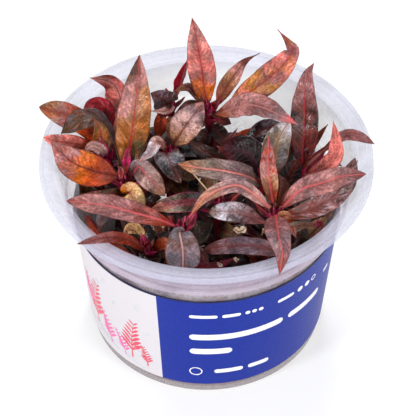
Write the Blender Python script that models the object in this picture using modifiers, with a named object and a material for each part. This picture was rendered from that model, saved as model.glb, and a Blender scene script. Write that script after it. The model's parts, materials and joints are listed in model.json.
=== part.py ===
"""Alternanthera reineckii grown in a clear-walled culture cup: leafy shoots that stand in a
layer of gel, in a round translucent cup with a wide flange and a wrap-round label.

Lengths are in millimetres up to the point where a mesh is made, then in metres. The origin
is the centre of the cup's base, +Z is up and -Y is the side that the label's picture faces.
"""

from typing import NamedTuple

import bmesh
import bpy
import numpy as np
from mathutils import Matrix, Vector

MM = 0.001
OBJECT_NAME = "alternanthera_reineckii_cup"
GAP = 0.3
WELD = 0.00001
ROUND_STEPS = 48

# The cup: an outer radius that grows with height, a ledge, a bead, a collar and a flange.
BASE_RADIUS = 43.5
WALL = 1.0
FLOOR = 1.2
TAPER = 0.08
NECK_HEIGHT = 60.4
LEDGE_HEIGHT = 62.4
LEDGE_WIDTH = 1.2
LEDGE_SLOPE = 0.6
BEAD_RADIUS = 51.0
BEAD_BOTTOM, BEAD_TOP = 61.2, 62.5
COLLAR_RADIUS = 52.4
COLLAR_BOTTOM, COLLAR_HEIGHT = 63.2, 76.8
COLLAR_WALL = 0.9
FLANGE_RADIUS = 59.0
FLANGE_THICKNESS = 1.3
CUP_HEIGHT = 79.0
LIP_DROP = 2.5
LIP_FLARE = 0.3
LIP_WALL = 1.0

LABEL_BOTTOM, LABEL_TOP = 5.0, 55.0
LABEL_THICKNESS = 0.3
LABEL_REACH = 150.0
LABEL_STEPS = 30
GEL_TOP = 16.0

# The stems: where they lean, and how they thin out towards the top.
KNEE_LEAN = 0.35
KNEE_HEIGHT = 0.5
FOOT_SCALE = 1.1
TOP_SCALE = 0.85

# The blades.
BLADE_THICKNESS = 0.5
PETIOLE_WIDTH = 1.4
TIP_WIDTH = 0.3
WIDE_BLADE = 8.0
WIDE_GRID, NARROW_GRID = (7, 4), (6, 2)
CUP_CURVE = 1.5

# The small side leaves, which are left out where there is less room than ROOM.
SIDE_LEAF_THICKNESS = 0.9
SIDE_LEAF_HEIGHTS = (30, 46, 61)
SIDE_LEAVES_PER_HEIGHT = 2
SIDE_LEAF_WIDTH = 5.0
SIDE_LEAF_LENGTHS = (15.0, 12.0, 9.0)
SIDE_LEAF_RISE = 32.0
SIDE_LEAF_STALK = 1.5
SIDE_LEAF_TURN = 15
SIDE_LEAF_STEPS = 9
SIDE_LEAF_ENDS = (0.08, 0.97)
OWN_STEM = 2.5
ROOM = 1.2
BLADE_CLEARANCE = 0.6

# The clear space at the back of the cup, where a tool goes in to lift the shoots out.
CLEAR_LOW = (-4.0, 28.0, 19.0)
CLEAR_HIGH = (16.0, 42.0, 80.0)


class Shoot(NamedTuple):
    """One shoot: where its stem leaves the gel, where it ends, and how thick it is."""

    foot: tuple
    top: tuple
    radius: float = 1.3


class Leaf(NamedTuple):
    """One blade: its shoot, the height where it leaves the stem, the points that its midrib
    passes on the way to its tip, its width, and where its upper side faces."""

    shoot: str
    leaves_at: float
    midrib: tuple
    width: float
    azimuth: float = 270
    rise: float = 44
    twist: float = 0
    cup: float = 0.10
    fullest: float = 0.42
    slender: float = 1.9


SHOOTS = {
    "left": Shoot((-27, 3), (-36, 3, 79)),
    "near_left": Shoot((-23, -6), (-29, -6, 76)),
    "front_left": Shoot((-14, -26), (-21, -33, 68)),
    "front": Shoot((-6, -21), (-9, -31, 77), 1.5),
    "front_right": Shoot((18, -18), (24, -26, 80), 1.6),
    "back": Shoot((2, 16), (1, 19, 87), 2.0),
    "right": Shoot((27, -3), (34, -4, 78)),
    "mid_left": Shoot((-11, 4), (-14, 6, 78)),
    "mid_right": Shoot((15, -4), (21, -5, 76)),
    "back_left": Shoot((-11, 22), (-13, 28, 81), 1.2),
    "mid_back": Shoot((10, 6), (12, 8, 76)),
    "middle": Shoot((4, -11), (4, -15, 73)),
}

LEAVES = {
    # The tallest shoot, at the back.
    "back_tall": Leaf("back", 83, ((-1, 24, 90), (-2, 25, 100), (-5, 28, 118)), 10, slender=1.7),
    "back_tailed": Leaf(
        "back", 82, ((7, 23, 90), (11, 25, 96), (14, 27, 99), (19, 29, 101)), 6, 250, 40, slender=3.2
    ),
    "back_hooked": Leaf(
        "back", 76, ((12, 21, 86), (22, 23, 94), (30, 25, 104), (29, 26, 108), (25, 29, 112)), 10,
        cup=0.05, fullest=0.52, slender=3.4,
    ),
    "back_arched": Leaf(
        "back", 82, ((12.5, 12, 91), (17.5, 9, 94), (22, 4, 96.5), (27, -1.5, 98), (31.5, -4, 97)), 9,
        rise=60, fullest=0.45,
    ),
    "back_brown": Leaf("back", 80, ((-5, 23, 80), (-11, 25, 76)), 6),
    "back_low": Leaf("back", 63, ((8, 11, 75), (11, 10, 82)), 4),
    # The shoot behind on the left.
    "back_left_crimson": Leaf("back_left", 79, ((-9, 31, 87), (-7, 32, 95)), 5, 120, 20, cup=0.15),
    "back_left_dark": Leaf("back_left", 78, ((-16, 21, 86), (-20, 20, 90)), 10, slender=1.6),
    # The two shoots on the left.
    "left_orange": Leaf(
        "left", 76, ((-43, 10, 83), (-48, 12.5, 85), (-53, 15, 85.5), (-59.8, 17, 86)), 9,
        fullest=0.6, slender=1.9,
    ),
    "left_blunt": Leaf(
        "left", 77, ((-45, 5, 79), (-51, 6, 79), (-58, 7, 80.5)), 6,
        fullest=0.55, slender=1.7,
    ),
    "left_magenta": Leaf(
        "left", 78, ((-35, 11, 87), (-37, 13, 90.5), (-40.5, 13, 91), (-43.5, 12, 89)), 5.5, fullest=0.6
    ),
    "left_folded": Leaf(
        "left", 75, ((-31, 18, 83), (-31, 18, 91), (-34, 18, 97), (-41, 17, 100)), 11, 250, 30, cup=0.15,
        fullest=0.5, slender=2.4,
    ),
    "left_olive": Leaf("left", 78, ((-37, 2, 88), (-39, 1, 95)), 6),
    "near_left_tall": Leaf(
        "near_left", 75, ((-27, 0, 82), (-25, 4, 96), (-23, 13, 114)), 12, rise=30, cup=0.12,
        fullest=0.45, slender=1.7,
    ),
    "near_left_dark": Leaf(
        "near_left", 73, ((-33, 4, 84), (-36.4, 6, 88.5), (-40, 6, 91), (-45, 4, 91), (-51, 1, 88)), 8,
        rise=66, fullest=0.76, slender=5,
    ),
    "near_left_broad": Leaf(
        "near_left", 74, ((-38, -8, 78), (-46, -6, 80), (-51, -2, 82), (-55, 2, 83)), 12, cup=0.08,
        fullest=0.46, slender=2.1,
    ),
    "near_left_cream": Leaf(
        "near_left", 66, ((-27, -12, 72), (-25.3, -15.5, 71), (-24.3, -18, 66.5)), 8.5,
        fullest=0.6, slender=1.9,
    ),
    "near_left_pale": Leaf(
        "near_left", 72, ((-24, -5.5, 78), (-20, -9.5, 76.5), (-14.5, -12.5, 70.5)), 8,
        fullest=0.55, slender=2.2,
    ),
    "near_left_grey": Leaf("near_left", 62, ((-34, -14, 66), (-37, -23, 68), (-37, -27, 66)), 6),
    # The shoot between the left and the middle.
    "mid_left_upright": Leaf("mid_left", 77, ((-7, 8, 86), (-1, 13, 92)), 11, fullest=0.5),
    "mid_left_tan": Leaf("mid_left", 74, ((-19, 5, 78), (-23, 4, 76)), 4),
    "mid_left_dark": Leaf(
        "mid_left", 75, ((-14, -1, 79.5), (-12, -5.5, 79), (-9, -9.5, 74)), 10, rise=75,
        fullest=0.52, slender=2.0,
    ),
    "mid_left_pale": Leaf(
        "mid_left", 77.5, ((-17.5, 1.5, 83.5), (-19.5, -4.5, 84.5), (-24, -10.5,
        85)), 4.5,
    ),
    # The front shoots.
    "front_left_long": Leaf(
        "front_left", 66, ((-26, -38, 75), (-32, -41, 80), (-37, -45, 83), (-43, -47, 83)), 4,
        fullest=0.5, slender=1.5,
    ),
    "front_left_orange": Leaf(
        "front_left", 60, ((-15.5, -31.5, 64.5), (-13, -34, 67), (-10.5, -36, 66.5)), 6.5, cup=0.05,
        fullest=0.55, slender=2.0,
    ),
    "front_long": Leaf(
        "front", 75, ((-16, -33, 80), (-23, -33, 83), (-31, -31, 84), (-40, -28, 83), (-48, -24, 80)), 8,
        rise=60, fullest=0.55, slender=1.7,
    ),
    "front_drooping": Leaf(
        "front", 73, ((-9, -37, 77), (-8, -42, 74), (-8, -45, 67)), 12, cup=0.08, fullest=0.66, slender=1.9
    ),
    "front_brown": Leaf("front", 58, ((-2, -34, 64), (1, -38, 62)), 5),
    "middle_speckled": Leaf("middle", 72, ((-9, -25, 80), (-19, -26, 78)), 7, fullest=0.5, slender=1.7),
    "middle_olive": Leaf("middle", 70, ((1, -10, 75), (-3, -8, 72)), 6),
    # The rosette at the front right.
    "front_right_twisted": Leaf(
        "front_right", 79, ((12, -28, 91), (5, -29, 91), (-1, -29, 86), (-6, -30, 78)), 5, cup=0.2
    ),
    "front_right_speckled": Leaf(
        "front_right", 70, ((12, -28, 78), (6, -28, 79), (1, -27, 77)), 7, fullest=0.62, slender=1.7
    ),
    "front_right_mauve": Leaf(
        "front_right", 64, ((23, -37, 70), (18, -39, 73), (11, -40, 75), (5, -40, 74), (-1, -38, 70)), 6,
        fullest=0.6, slender=1.5,
    ),
    "front_right_hanging": Leaf(
        "front_right", 77, ((24, -46, 86), (25, -54, 86), (24, -60, 82)), 9, rise=50, cup=0.08,
        fullest=0.45, slender=1.9,
    ),
    "front_right_glossy": Leaf(
        "front_right", 74, ((34, -26, 77), (40, -24, 79), (45, -21, 81), (49, -15, 82), (52, -6, 83)), 8,
        fullest=0.5, slender=1.6,
    ),
    "front_right_pink": Leaf(
        "front_right", 77, ((32, -23, 84), (40, -22, 87), (47, -19, 87), (55, -16, 85)), 8,
        fullest=0.5, slender=1.7,
    ),
    "front_right_upright": Leaf("front_right", 79, ((21, -20, 92), (21, -17, 104)), 6, slender=1.6),
    "front_right_wine": Leaf("front_right", 76, ((29, -14, 82), (32, -10, 86)), 9, fullest=0.5, slender=1.3),
    # The shoots in the middle, right and behind the middle.
    "mid_right_grey": Leaf(
        "mid_right", 75, ((23.2, -8, 83), (24.4, -6, 90), (26.8, -3, 94), (28.9, -1.5, 96)), 9.5,
        fullest=0.55, slender=1.4,
    ),
    "mid_right_black": Leaf("mid_right", 72, ((14.5, 1, 78), (6, 7, 76)), 12, fullest=0.48, slender=1.4),
    "mid_right_long": Leaf(
        "mid_right", 70, ((14, -14, 82), (5, -13, 84), (-2, -11, 83), (-10, -6, 80)), 8, rise=60, cup=0.08,
        fullest=0.5, slender=1.6,
    ),
    "mid_back_purple": Leaf("mid_back", 73, ((20, 10, 81), (28, 14, 80)), 7, fullest=0.5, slender=1.6),
    "right_tall": Leaf(
        "right", 76, ((34, -1, 87), (34, 3, 96), (34, 5, 105), (35, 9, 109), (37, 11, 112)), 10, rise=35,
        slender=1.6,
    ),
    "right_coral": Leaf(
        "right", 72, ((41, -5, 77), (45, -4, 82), (45, -2, 89), (44, 0, 95)), 6, slender=1.8
    ),
    "right_far": Leaf(
        "right", 77, ((43, -1, 84), (48, 1, 87), (53, 1, 87), (59, 0, 84)), 4, fullest=0.68, slender=3.0
    ),
}


def smooth_path(points, count):
    """Evenly spaced points along a smooth curve through a few points."""
    points = np.array(points, float)
    ends = np.vstack([2 * points[0] - points[1], points, 2 * points[-1] - points[-2]])
    t = np.linspace(0, 1, 24, endpoint=False)[:, None]
    spans = [
        0.5 * (2 * b + (c - a) * t + (2 * a - 5 * b + 4 * c - d) * t**2 + (3 * b - a - 3 * c + d) * t**3)
        for a, b, c, d in zip(ends, ends[1:], ends[2:], ends[3:])
    ]
    curve = np.vstack(spans + [points[-1:]])
    travelled = np.concatenate([[0], np.cumsum(np.linalg.norm(np.diff(curve, axis=0), axis=1))])
    wanted = np.linspace(0, travelled[-1], count)
    return np.column_stack([np.interp(wanted, travelled, curve[:, i]) for i in range(3)])


def direction(azimuth, rise):
    """Unit vector at a compass angle from +X towards +Y, and an angle above level."""
    a, r = np.radians(azimuth), np.radians(rise)
    return np.array([np.cos(a) * np.cos(r), np.sin(a) * np.cos(r), np.sin(r)])


def stem_path(shoot, count=6):
    """The middle line of a stem: upright out of the gel, then leaning to its top."""
    foot = np.array((*shoot.foot, GEL_TOP + GAP))
    top = np.array(shoot.top, float)
    knee = foot + KNEE_LEAN * (top - foot)
    knee[2] = KNEE_HEIGHT * top[2]
    return smooth_path([foot, knee, top], count)


def stem_point(shoot, height):
    """The point of a stem's middle line at a height."""
    path = stem_path(shoot, 40)
    return np.array([np.interp(height, path[:, 2], path[:, i]) for i in range(3)])


def leaf_midrib(leaf):
    """The points that a blade's midrib passes, from the stem's surface to the tip."""
    shoot = SHOOTS[leaf.shoot]
    axis = stem_point(shoot, leaf.leaves_at)
    outward = np.array(leaf.midrib[0], float) - axis
    outward[2] = 0
    outward /= np.linalg.norm(outward)
    start = axis + outward * (shoot.radius + GAP + 0.5 * BLADE_THICKNESS)
    return [start, *leaf.midrib]


def half_width(leaf, s):
    """Half of a blade's width at a share s of its length: a stalk, a lance shape and a point."""
    bell = (s / leaf.fullest) ** (leaf.slender * leaf.fullest)
    bell *= ((1 - s) / (1 - leaf.fullest)) ** (leaf.slender * (1 - leaf.fullest))
    stalk = PETIOLE_WIDTH * (1 - s) + TIP_WIDTH * s
    return 0.5 * np.maximum(stalk, leaf.width * bell)


def blade_points(leaf, rows, columns):
    """The middle surface of a blade, as rows from stem to tip and columns from side to side."""
    path = smooth_path(leaf_midrib(leaf), rows + 1)
    tangents = np.gradient(path, axis=0)
    tangents /= np.linalg.norm(tangents, axis=1)[:, None]
    up = direction(leaf.azimuth, leaf.rise)
    normals = up - (tangents @ up)[:, None] * tangents
    normals /= np.linalg.norm(normals, axis=1)[:, None]
    sides = np.cross(tangents, normals)
    s = np.linspace(0, 1, rows + 1)
    turn = np.radians(leaf.twist) * s[:, None]
    sides, normals = (
        np.cos(turn) * sides + np.sin(turn) * normals,
        np.cos(turn) * normals - np.sin(turn) * sides,
    )
    half = half_width(leaf, s)[:, None]
    t = np.linspace(-1, 1, columns + 1)
    lift = 2 * leaf.cup * np.abs(t) ** CUP_CURVE * half
    return path[:, None] + sides[:, None] * (t * half)[..., None] + normals[:, None] * lift[..., None]


def cup_outer_radius(height):
    return BASE_RADIUS + TAPER * height


def material(name, colour, roughness, alpha=1.0):
    """A plain Principled material."""
    made = bpy.data.materials.new(name)
    made.use_nodes = True
    shader = made.node_tree.nodes["Principled BSDF"]
    shader.inputs["Base Color"].default_value = (*colour, 1)
    shader.inputs["Roughness"].default_value = roughness
    shader.inputs["Metallic"].default_value = 0
    shader.inputs["Alpha"].default_value = alpha
    return made


def add_object(name, mesh, finish, collection):
    made = bpy.data.objects.new(name, mesh)
    collection.objects.link(made)
    mesh.materials.clear()
    mesh.materials.append(finish)
    return made


def add_turned(name, profile, finish, collection):
    """A round piece: a profile of radius and height, turned about the cup's axis."""
    mesh = bpy.data.meshes.new(name)
    points = [(radius * MM, 0, height * MM) for radius, height in profile]
    edges = [(i, i + 1) for i in range(len(points) - 1)]
    mesh.from_pydata(points, edges, [])
    made = add_object(name, mesh, finish, collection)
    screw = made.modifiers.new("turn", "SCREW")
    screw.steps = screw.render_steps = ROUND_STEPS
    screw.use_merge_vertices = True
    screw.merge_threshold = WELD
    screw.use_smooth_shade = True
    return made


def add_cup(collection):
    inner_neck = cup_outer_radius(LEDGE_HEIGHT) - WALL
    lip_radius = FLANGE_RADIUS + LIP_FLARE
    lip_height = CUP_HEIGHT - LIP_DROP
    profile = [
        (0, FLOOR),
        (BASE_RADIUS - WALL, FLOOR),
        (inner_neck, LEDGE_HEIGHT - LEDGE_SLOPE),
        (inner_neck + LEDGE_WIDTH, LEDGE_HEIGHT),
        (COLLAR_RADIUS, COLLAR_HEIGHT),
        (FLANGE_RADIUS, CUP_HEIGHT),
        (lip_radius, lip_height),
        (lip_radius - LIP_WALL, lip_height),
        (FLANGE_RADIUS - COLLAR_WALL, CUP_HEIGHT - FLANGE_THICKNESS),
        (COLLAR_RADIUS + COLLAR_WALL, COLLAR_HEIGHT - COLLAR_WALL),
        (inner_neck + 2 * LEDGE_WIDTH, COLLAR_BOTTOM),
        (BEAD_RADIUS, BEAD_TOP),
        (BEAD_RADIUS, BEAD_BOTTOM),
        (cup_outer_radius(NECK_HEIGHT), NECK_HEIGHT),
        (BASE_RADIUS, 0),
        (0, 0),
    ]
    add_turned("cup", profile, material("cup_plastic", (0.80, 0.82, 0.90), 0.3, 0.45), collection)


def add_label(collection):
    """A film wrapped most of the way round the wall, open at the back: a ring of four-sided
    sections, closed with a face at each end."""
    inner = [(cup_outer_radius(height) + GAP, height) for height in (LABEL_BOTTOM, LABEL_TOP)]
    outer = [(radius + LABEL_THICKNESS, height) for radius, height in inner]
    profile = [inner[0], outer[0], outer[1], inner[1]]
    shape = bmesh.new()
    sections = []
    for turn in np.radians(np.linspace(-LABEL_REACH, LABEL_REACH, LABEL_STEPS + 1)):
        ring = [(radius * np.sin(turn), -radius * np.cos(turn), height) for radius, height in profile]
        sections.append([shape.verts.new(Vector(place) * MM) for place in ring])
    for near, far in zip(sections, sections[1:]):
        for i in range(len(profile)):
            following = (i + 1) % len(profile)
            shape.faces.new((near[i], near[following], far[following], far[i]))
    shape.faces.new(sections[0])
    shape.faces.new(sections[-1])
    bmesh.ops.recalc_face_normals(shape, faces=shape.faces)
    mesh = bpy.data.meshes.new("label")
    shape.to_mesh(mesh)
    shape.free()
    add_object("label", mesh, material("label_print", (0.06, 0.08, 0.40), 0.35), collection)


def add_gel(collection):
    bottom = FLOOR + GAP
    profile = [
        (0, GEL_TOP),
        (cup_outer_radius(GEL_TOP) - WALL - 2 * GAP, GEL_TOP),
        (cup_outer_radius(bottom) - WALL - 2 * GAP, bottom),
        (0, bottom),
    ]
    add_turned("gel", profile, material("gel", (0.62, 0.52, 0.42), 0.25), collection)


def add_blade(name, leaf, finish, collection):
    """One leaf: a grid shaped to the blade's middle surface, thickened to a closed solid."""
    rows, columns = WIDE_GRID if leaf.width >= WIDE_BLADE else NARROW_GRID
    points = blade_points(leaf, rows, columns)
    shape = bmesh.new()
    bmesh.ops.create_grid(shape, x_segments=columns, y_segments=rows, size=1)
    for vertex in shape.verts:
        column = round((vertex.co.x + 1) / 2 * columns)
        row = round((vertex.co.y + 1) / 2 * rows)
        vertex.co = Vector(points[row, column]) * MM
    mesh = bpy.data.meshes.new(name)
    shape.to_mesh(mesh)
    shape.free()
    mesh.shade_smooth()
    made = add_object(name, mesh, finish, collection)
    thick = made.modifiers.new("thickness", "SOLIDIFY")
    thick.thickness = BLADE_THICKNESS * MM
    thick.offset = 0
    return made


def sampled(points, radii):
    """Points and radii as one array, to measure distances between leaves and stems."""
    return np.column_stack([points, np.broadcast_to(radii, len(points))])


def filled_space():
    """Balls that fill the stems and the big blades."""
    balls = [sampled(stem_path(shoot, 30), shoot.radius) for shoot in SHOOTS.values()]
    for leaf in LEAVES.values():
        for column in blade_points(leaf, 12, 4).transpose(1, 0, 2):
            balls.append(sampled(column, BLADE_CLEARANCE))
    return np.vstack(balls)


def side_leaf_line(axis, azimuth, radius, length):
    """Points along a side leaf, and half of its width at each."""
    along = np.linspace(radius + SIDE_LEAF_STALK, radius + length, SIDE_LEAF_STEPS)
    half = 0.5 * SIDE_LEAF_WIDTH * np.sin(np.pi * np.linspace(*SIDE_LEAF_ENDS, SIDE_LEAF_STEPS))
    return axis + direction(azimuth, SIDE_LEAF_RISE) * along[:, None], half


def room_around(line, half, balls):
    """The least distance from a side leaf to what is there, to the cup and to the clear space."""
    apart = np.linalg.norm(line[:, None] - balls[None, :, :3], axis=2) - balls[None, :, 3]
    to_cup = cup_outer_radius(line[:, 2]) - WALL - np.hypot(line[:, 0], line[:, 1])
    box = np.maximum(np.array(CLEAR_LOW) - line, line - np.array(CLEAR_HIGH))
    to_clear = np.linalg.norm(np.maximum(box, 0), axis=1)
    return (np.minimum(np.minimum(apart.min(axis=1), to_cup), to_clear) - half).min()


def roomiest(axis, radius, others):
    """The way and length of the side leaf that has most room: the longest that fits at all."""
    for length in SIDE_LEAF_LENGTHS:
        tries = []
        for azimuth in range(0, 360, SIDE_LEAF_TURN):
            line, half = side_leaf_line(axis, azimuth, radius, length)
            tries.append((room_around(line, half, others), azimuth))
        spare, azimuth = max(tries, key=lambda found: found[0])
        if spare > ROOM:
            return azimuth, length
    return None


def place_side_leaves():
    """For each shoot, the small leaves low on its stem: where each leaves the stem's middle
    line, the way it points, and how far it reaches. Each points to where there is most room."""
    balls = filled_space()
    placed = {name: [] for name in SHOOTS}
    for height in SIDE_LEAF_HEIGHTS:
        for name, shoot in SHOOTS.items():
            axis = stem_point(shoot, height)
            others = balls[np.linalg.norm(balls[:, :3] - axis, axis=1) > shoot.radius + OWN_STEM]
            for _ in range(SIDE_LEAVES_PER_HEIGHT):
                found = roomiest(axis, shoot.radius, others)
                if found is None:
                    break
                azimuth, length = found
                placed[name].append((axis, azimuth, shoot.radius + length))
                leaf = sampled(*side_leaf_line(axis, azimuth, shoot.radius, length))
                others = np.vstack([others, leaf])
                balls = np.vstack([balls, leaf])
    return placed


def stem_mesh(name, shoot):
    """A stem as a tapering tube with welded caps."""
    curve = bpy.data.curves.new(name, "CURVE")
    curve.dimensions = "3D"
    curve.bevel_depth = MM
    curve.bevel_resolution = 1
    curve.use_fill_caps = True
    path = stem_path(shoot)
    spline = curve.splines.new("POLY")
    spline.points.add(len(path) - 1)
    for i, (point, place) in enumerate(zip(spline.points, path)):
        point.co = (*(place * MM), 1)
        point.radius = shoot.radius * np.interp(i, (0, len(path) - 1), (FOOT_SCALE, TOP_SCALE))
    tube = bpy.data.objects.new(name, curve)
    bpy.context.scene.collection.objects.link(tube)
    evaluated = tube.evaluated_get(bpy.context.evaluated_depsgraph_get())
    mesh = bpy.data.meshes.new_from_object(evaluated)
    bpy.data.objects.remove(tube)
    shape = bmesh.new()
    shape.from_mesh(mesh)
    bmesh.ops.remove_doubles(shape, verts=shape.verts, dist=WELD)
    shape.to_mesh(mesh)
    shape.free()
    return mesh


def side_leaf_mesh(name, leaves):
    """The small leaves of one stem: flattened spindles that start inside the stem."""
    shape = bmesh.new()
    for axis, azimuth, reach in leaves:
        way = Vector(direction(azimuth, SIDE_LEAF_RISE))
        across = Vector((0, 0, 1)).cross(way).normalized()
        frame = Matrix((way.cross(across), across, way)).transposed().to_4x4()
        size = Matrix.Diagonal((SIDE_LEAF_THICKNESS * MM / 2, SIDE_LEAF_WIDTH * MM / 2, reach * MM / 2, 1))
        place = Matrix.Translation((Vector(axis) + way * reach / 2) * MM)
        bmesh.ops.create_uvsphere(shape, u_segments=4, v_segments=3, radius=1, matrix=place @ frame @ size)
    mesh = bpy.data.meshes.new(name)
    shape.to_mesh(mesh)
    shape.free()
    return mesh


def add_stem(name, shoot, side_leaves, finish, collection, cutters):
    """A stem with its small leaves fused to it."""
    made = add_object(name, stem_mesh(name, shoot), finish, collection)
    if side_leaves:
        tool = add_object(name + "_leaves", side_leaf_mesh(name + "_leaves", side_leaves), finish, cutters)
        tool.hide_render = True
        tool.display_type = "WIRE"
        join = made.modifiers.new("side leaves", "BOOLEAN")
        join.operation = "UNION"
        join.solver = "EXACT"
        join.use_self = True
        join.object = tool
    return made


def main():
    for old in list(bpy.data.objects):
        bpy.data.objects.remove(old, do_unlink=True)
    parts = bpy.data.collections.new(OBJECT_NAME)
    cutters = bpy.data.collections.new("cutters")
    bpy.context.scene.collection.children.link(parts)
    bpy.context.scene.collection.children.link(cutters)
    add_cup(parts)
    add_label(parts)
    add_gel(parts)
    stem_finish = material("stem", (0.16, 0.02, 0.03), 0.45)
    leaf_finish = material("leaf", (0.22, 0.07, 0.06), 0.4)
    side_leaves = place_side_leaves()
    for name, shoot in SHOOTS.items():
        add_stem("stem_" + name, shoot, side_leaves[name], stem_finish, parts, cutters)
    for name, leaf in LEAVES.items():
        add_blade("leaf_" + name, leaf, leaf_finish, parts)


main()
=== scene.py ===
"""The looks of a culture cup of Alternanthera reineckii: fine leaves, stems and small leaves in
place of the plain solids, a milky cup, a printed label and a layer of gel, on a pale floor.

Lengths are in millimetres up to the point where a mesh is made, then in metres. The camera
looks along +Y and down into the cup.
"""

import json
from typing import NamedTuple

import bmesh
import bpy
import numpy as np
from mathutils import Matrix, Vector


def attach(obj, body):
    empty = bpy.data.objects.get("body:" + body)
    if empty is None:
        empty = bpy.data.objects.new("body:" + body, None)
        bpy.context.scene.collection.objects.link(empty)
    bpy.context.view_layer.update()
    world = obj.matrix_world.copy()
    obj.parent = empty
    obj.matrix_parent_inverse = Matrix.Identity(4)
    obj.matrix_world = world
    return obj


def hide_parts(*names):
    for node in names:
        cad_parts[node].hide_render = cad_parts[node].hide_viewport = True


MM = 0.001
GAP = 0.3
WELD = 0.01

# The cup's wall, as the frame has it.
BASE_RADIUS = 43.5
WALL = 1.0
FLOOR = 1.2
TAPER = 0.08
NECK_HEIGHT = 60.4
LEDGE_HEIGHT = 62.4
LEDGE_WIDTH = 1.2
LEDGE_SLOPE = 0.6
BEAD_RADIUS = 51.0
BEAD_BOTTOM, BEAD_TOP = 61.2, 62.5
COLLAR_RADIUS = 52.4
COLLAR_BOTTOM, COLLAR_HEIGHT = 63.2, 76.8
COLLAR_WALL = 0.9
FLANGE_RADIUS = 59.0
FLANGE_THICKNESS = 1.3
CUP_HEIGHT = 79.0
LIP_DROP = 2.5
LIP_FLARE = 0.3
LIP_WALL = 1.0
CUP_STEPS = 160

# The cup's rounded edges, and the two low rings on its flange.
EDGE_ROUNDING = 0.35
FLANGE_RINGS = (54.2, 57.4)
RING_DEPTH = 0.15
RING_FOOT, RING_FLAT = 0.35, 0.1

LABEL_BOTTOM, LABEL_TOP = 5.0, 55.0
LABEL_THICKNESS = 0.3

# The gel, and how far and how wide it climbs where it meets the wall.
GEL_TOP = 16.0
GEL_CLIMB, GEL_CLIMB_WIDTH = 1.2, 2.5
GEL_STEPS = 24

# The stems: where they lean, how they thin out towards the top, and the swelling at each pair
# of leaves.
KNEE_LEAN = 0.35
KNEE_HEIGHT = 0.5
FOOT_SCALE = 1.1
TOP_SCALE = 0.85
SWELLING, SWELLING_WIDTH = 0.3, 1.6
TOP_SWELLING_BELOW = 8
STEM_END = 4.5
STEM_STEPS = 90

# The blades' outlines.
BLADE_THICKNESS = 0.5
PETIOLE_WIDTH = 1.4
TIP_WIDTH = 0.3
CUP_CURVE = 1.5
LEAF_ROWS, LEAF_COLUMNS = 56, 16

# The blades' surfaces: waves along the margins, side veins, and a midrib that is a groove above
# and a keel below. A blade is thin at its margins and thick at its stalk.
WAVE_LENGTH = 9.0
VEIN_WAVES, VEIN_SLANT = 58.0, 0.17
VEIN_HEIGHT = 0.06
GROOVE_DEPTH, GROOVE_WIDTH = 0.32, 0.45
KEEL_DEPTH, KEEL_WIDTH = 0.34, 0.5
MARGIN_THICKNESS, MIDDLE_THICKNESS = 0.16, 0.16
STALK_THICKNESS, STALK_SHARE = 0.55, 0.07

# How a blade isn't flat or even, as shares of its ripple: its margins wave most, the whole blade
# arches, its surface has dents, and its outline strays by a share of its width. Its columns of
# points lie closer together towards the midrib.
RUFFLE_CURVE = 2.2
ARCH_HEIGHT, ARCHES = 0.6, 1.4
DENT_HEIGHT = 0.55
OUTLINE_STRAY = 0.018
COLUMN_CROWDING = 1.25

# The small side leaves, which are left out where there is less room than ROOM.
SIDE_LEAF_HEIGHTS = (30, 46, 61)
SIDE_LEAVES_PER_HEIGHT = 2
SIDE_LEAF_WIDTH = 5.0
SIDE_LEAF_LENGTHS = (15.0, 12.0, 9.0)
SIDE_LEAF_RISE = 32.0
SIDE_LEAF_STALK = 1.5
SIDE_LEAF_TURN = 15
SIDE_LEAF_STEPS = 9
SIDE_LEAF_ENDS = (0.08, 0.97)
OWN_STEM = 2.5
ROOM = 1.2
BLADE_CLEARANCE = 0.6
CLEAR_LOW = (-4.0, 28.0, 19.0)
CLEAR_HIGH = (16.0, 42.0, 80.0)

# Colours of plant, cup and label, as 0 to 255 on a screen.
COLOURS = {
    "pale_pink": (198, 154, 146),
    "dusty_pink": (180, 120, 115),
    "mauve": (136, 86, 86),
    "grey_mauve": (128, 103, 107),
    "purple_grey": (92, 68, 80),
    "tan": (172, 118, 82),
    "cream": (216, 172, 116),
    "amber": (200, 98, 6),
    "orange": (174, 58, 2),
    "rust": (130, 40, 10),
    "red_brown": (104, 36, 26),
    "brown": (84, 48, 32),
    "dark_brown": (48, 24, 20),
    "black_wine": (22, 8, 12),
    "wine": (78, 10, 24),
    "crimson": (160, 14, 38),
    "magenta": (180, 18, 84),
    "fuchsia": (224, 40, 120),
    "rose": (206, 84, 92),
    "coral": (234, 126, 116),
    "ochre": (150, 82, 20),
    "honey": (222, 140, 58),
    "olive": (88, 66, 26),
    "moss": (54, 42, 20),
    "grey_green": (120, 104, 92),
    "slate": (88, 86, 94),
    "root": (214, 186, 150),
    "white": (238, 238, 242),
    # film: a pale grey-lilac. On wet blades it is painted in as the glints of a wet sheen; some blades and
    # the cup's patches also use it as a plain pale tone.
    "film": (186, 180, 190),
    "panel": (208, 203, 208),
    "blue": (6, 41, 147),
    "deep_blue": (4, 33, 132),
    "print_rose": (228, 52, 84),
    "print_pink": (240, 96, 168),
    # ink: the dark line of painted shadow along the label's top edge.
    "ink": (28, 32, 74),
    "wash": (206, 216, 226),
}


class Shoot(NamedTuple):
    """One shoot: where its stem leaves the gel, where it ends, and how thick it is."""

    foot: tuple
    top: tuple
    radius: float = 1.3


class Leaf(NamedTuple):
    """One blade: its shoot, the height where it leaves the stem, the points that its midrib
    passes on the way to its tip, its width, and where its upper side faces. Its last four
    values are its twist in degrees, how deep it is cupped, and where and how it is widest."""

    shoot: str
    leaves_at: float
    midrib: tuple
    width: float
    azimuth: float = 270
    rise: float = 44
    twist: float = 0
    cup: float = 0.10
    fullest: float = 0.42
    slender: float = 1.9


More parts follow.
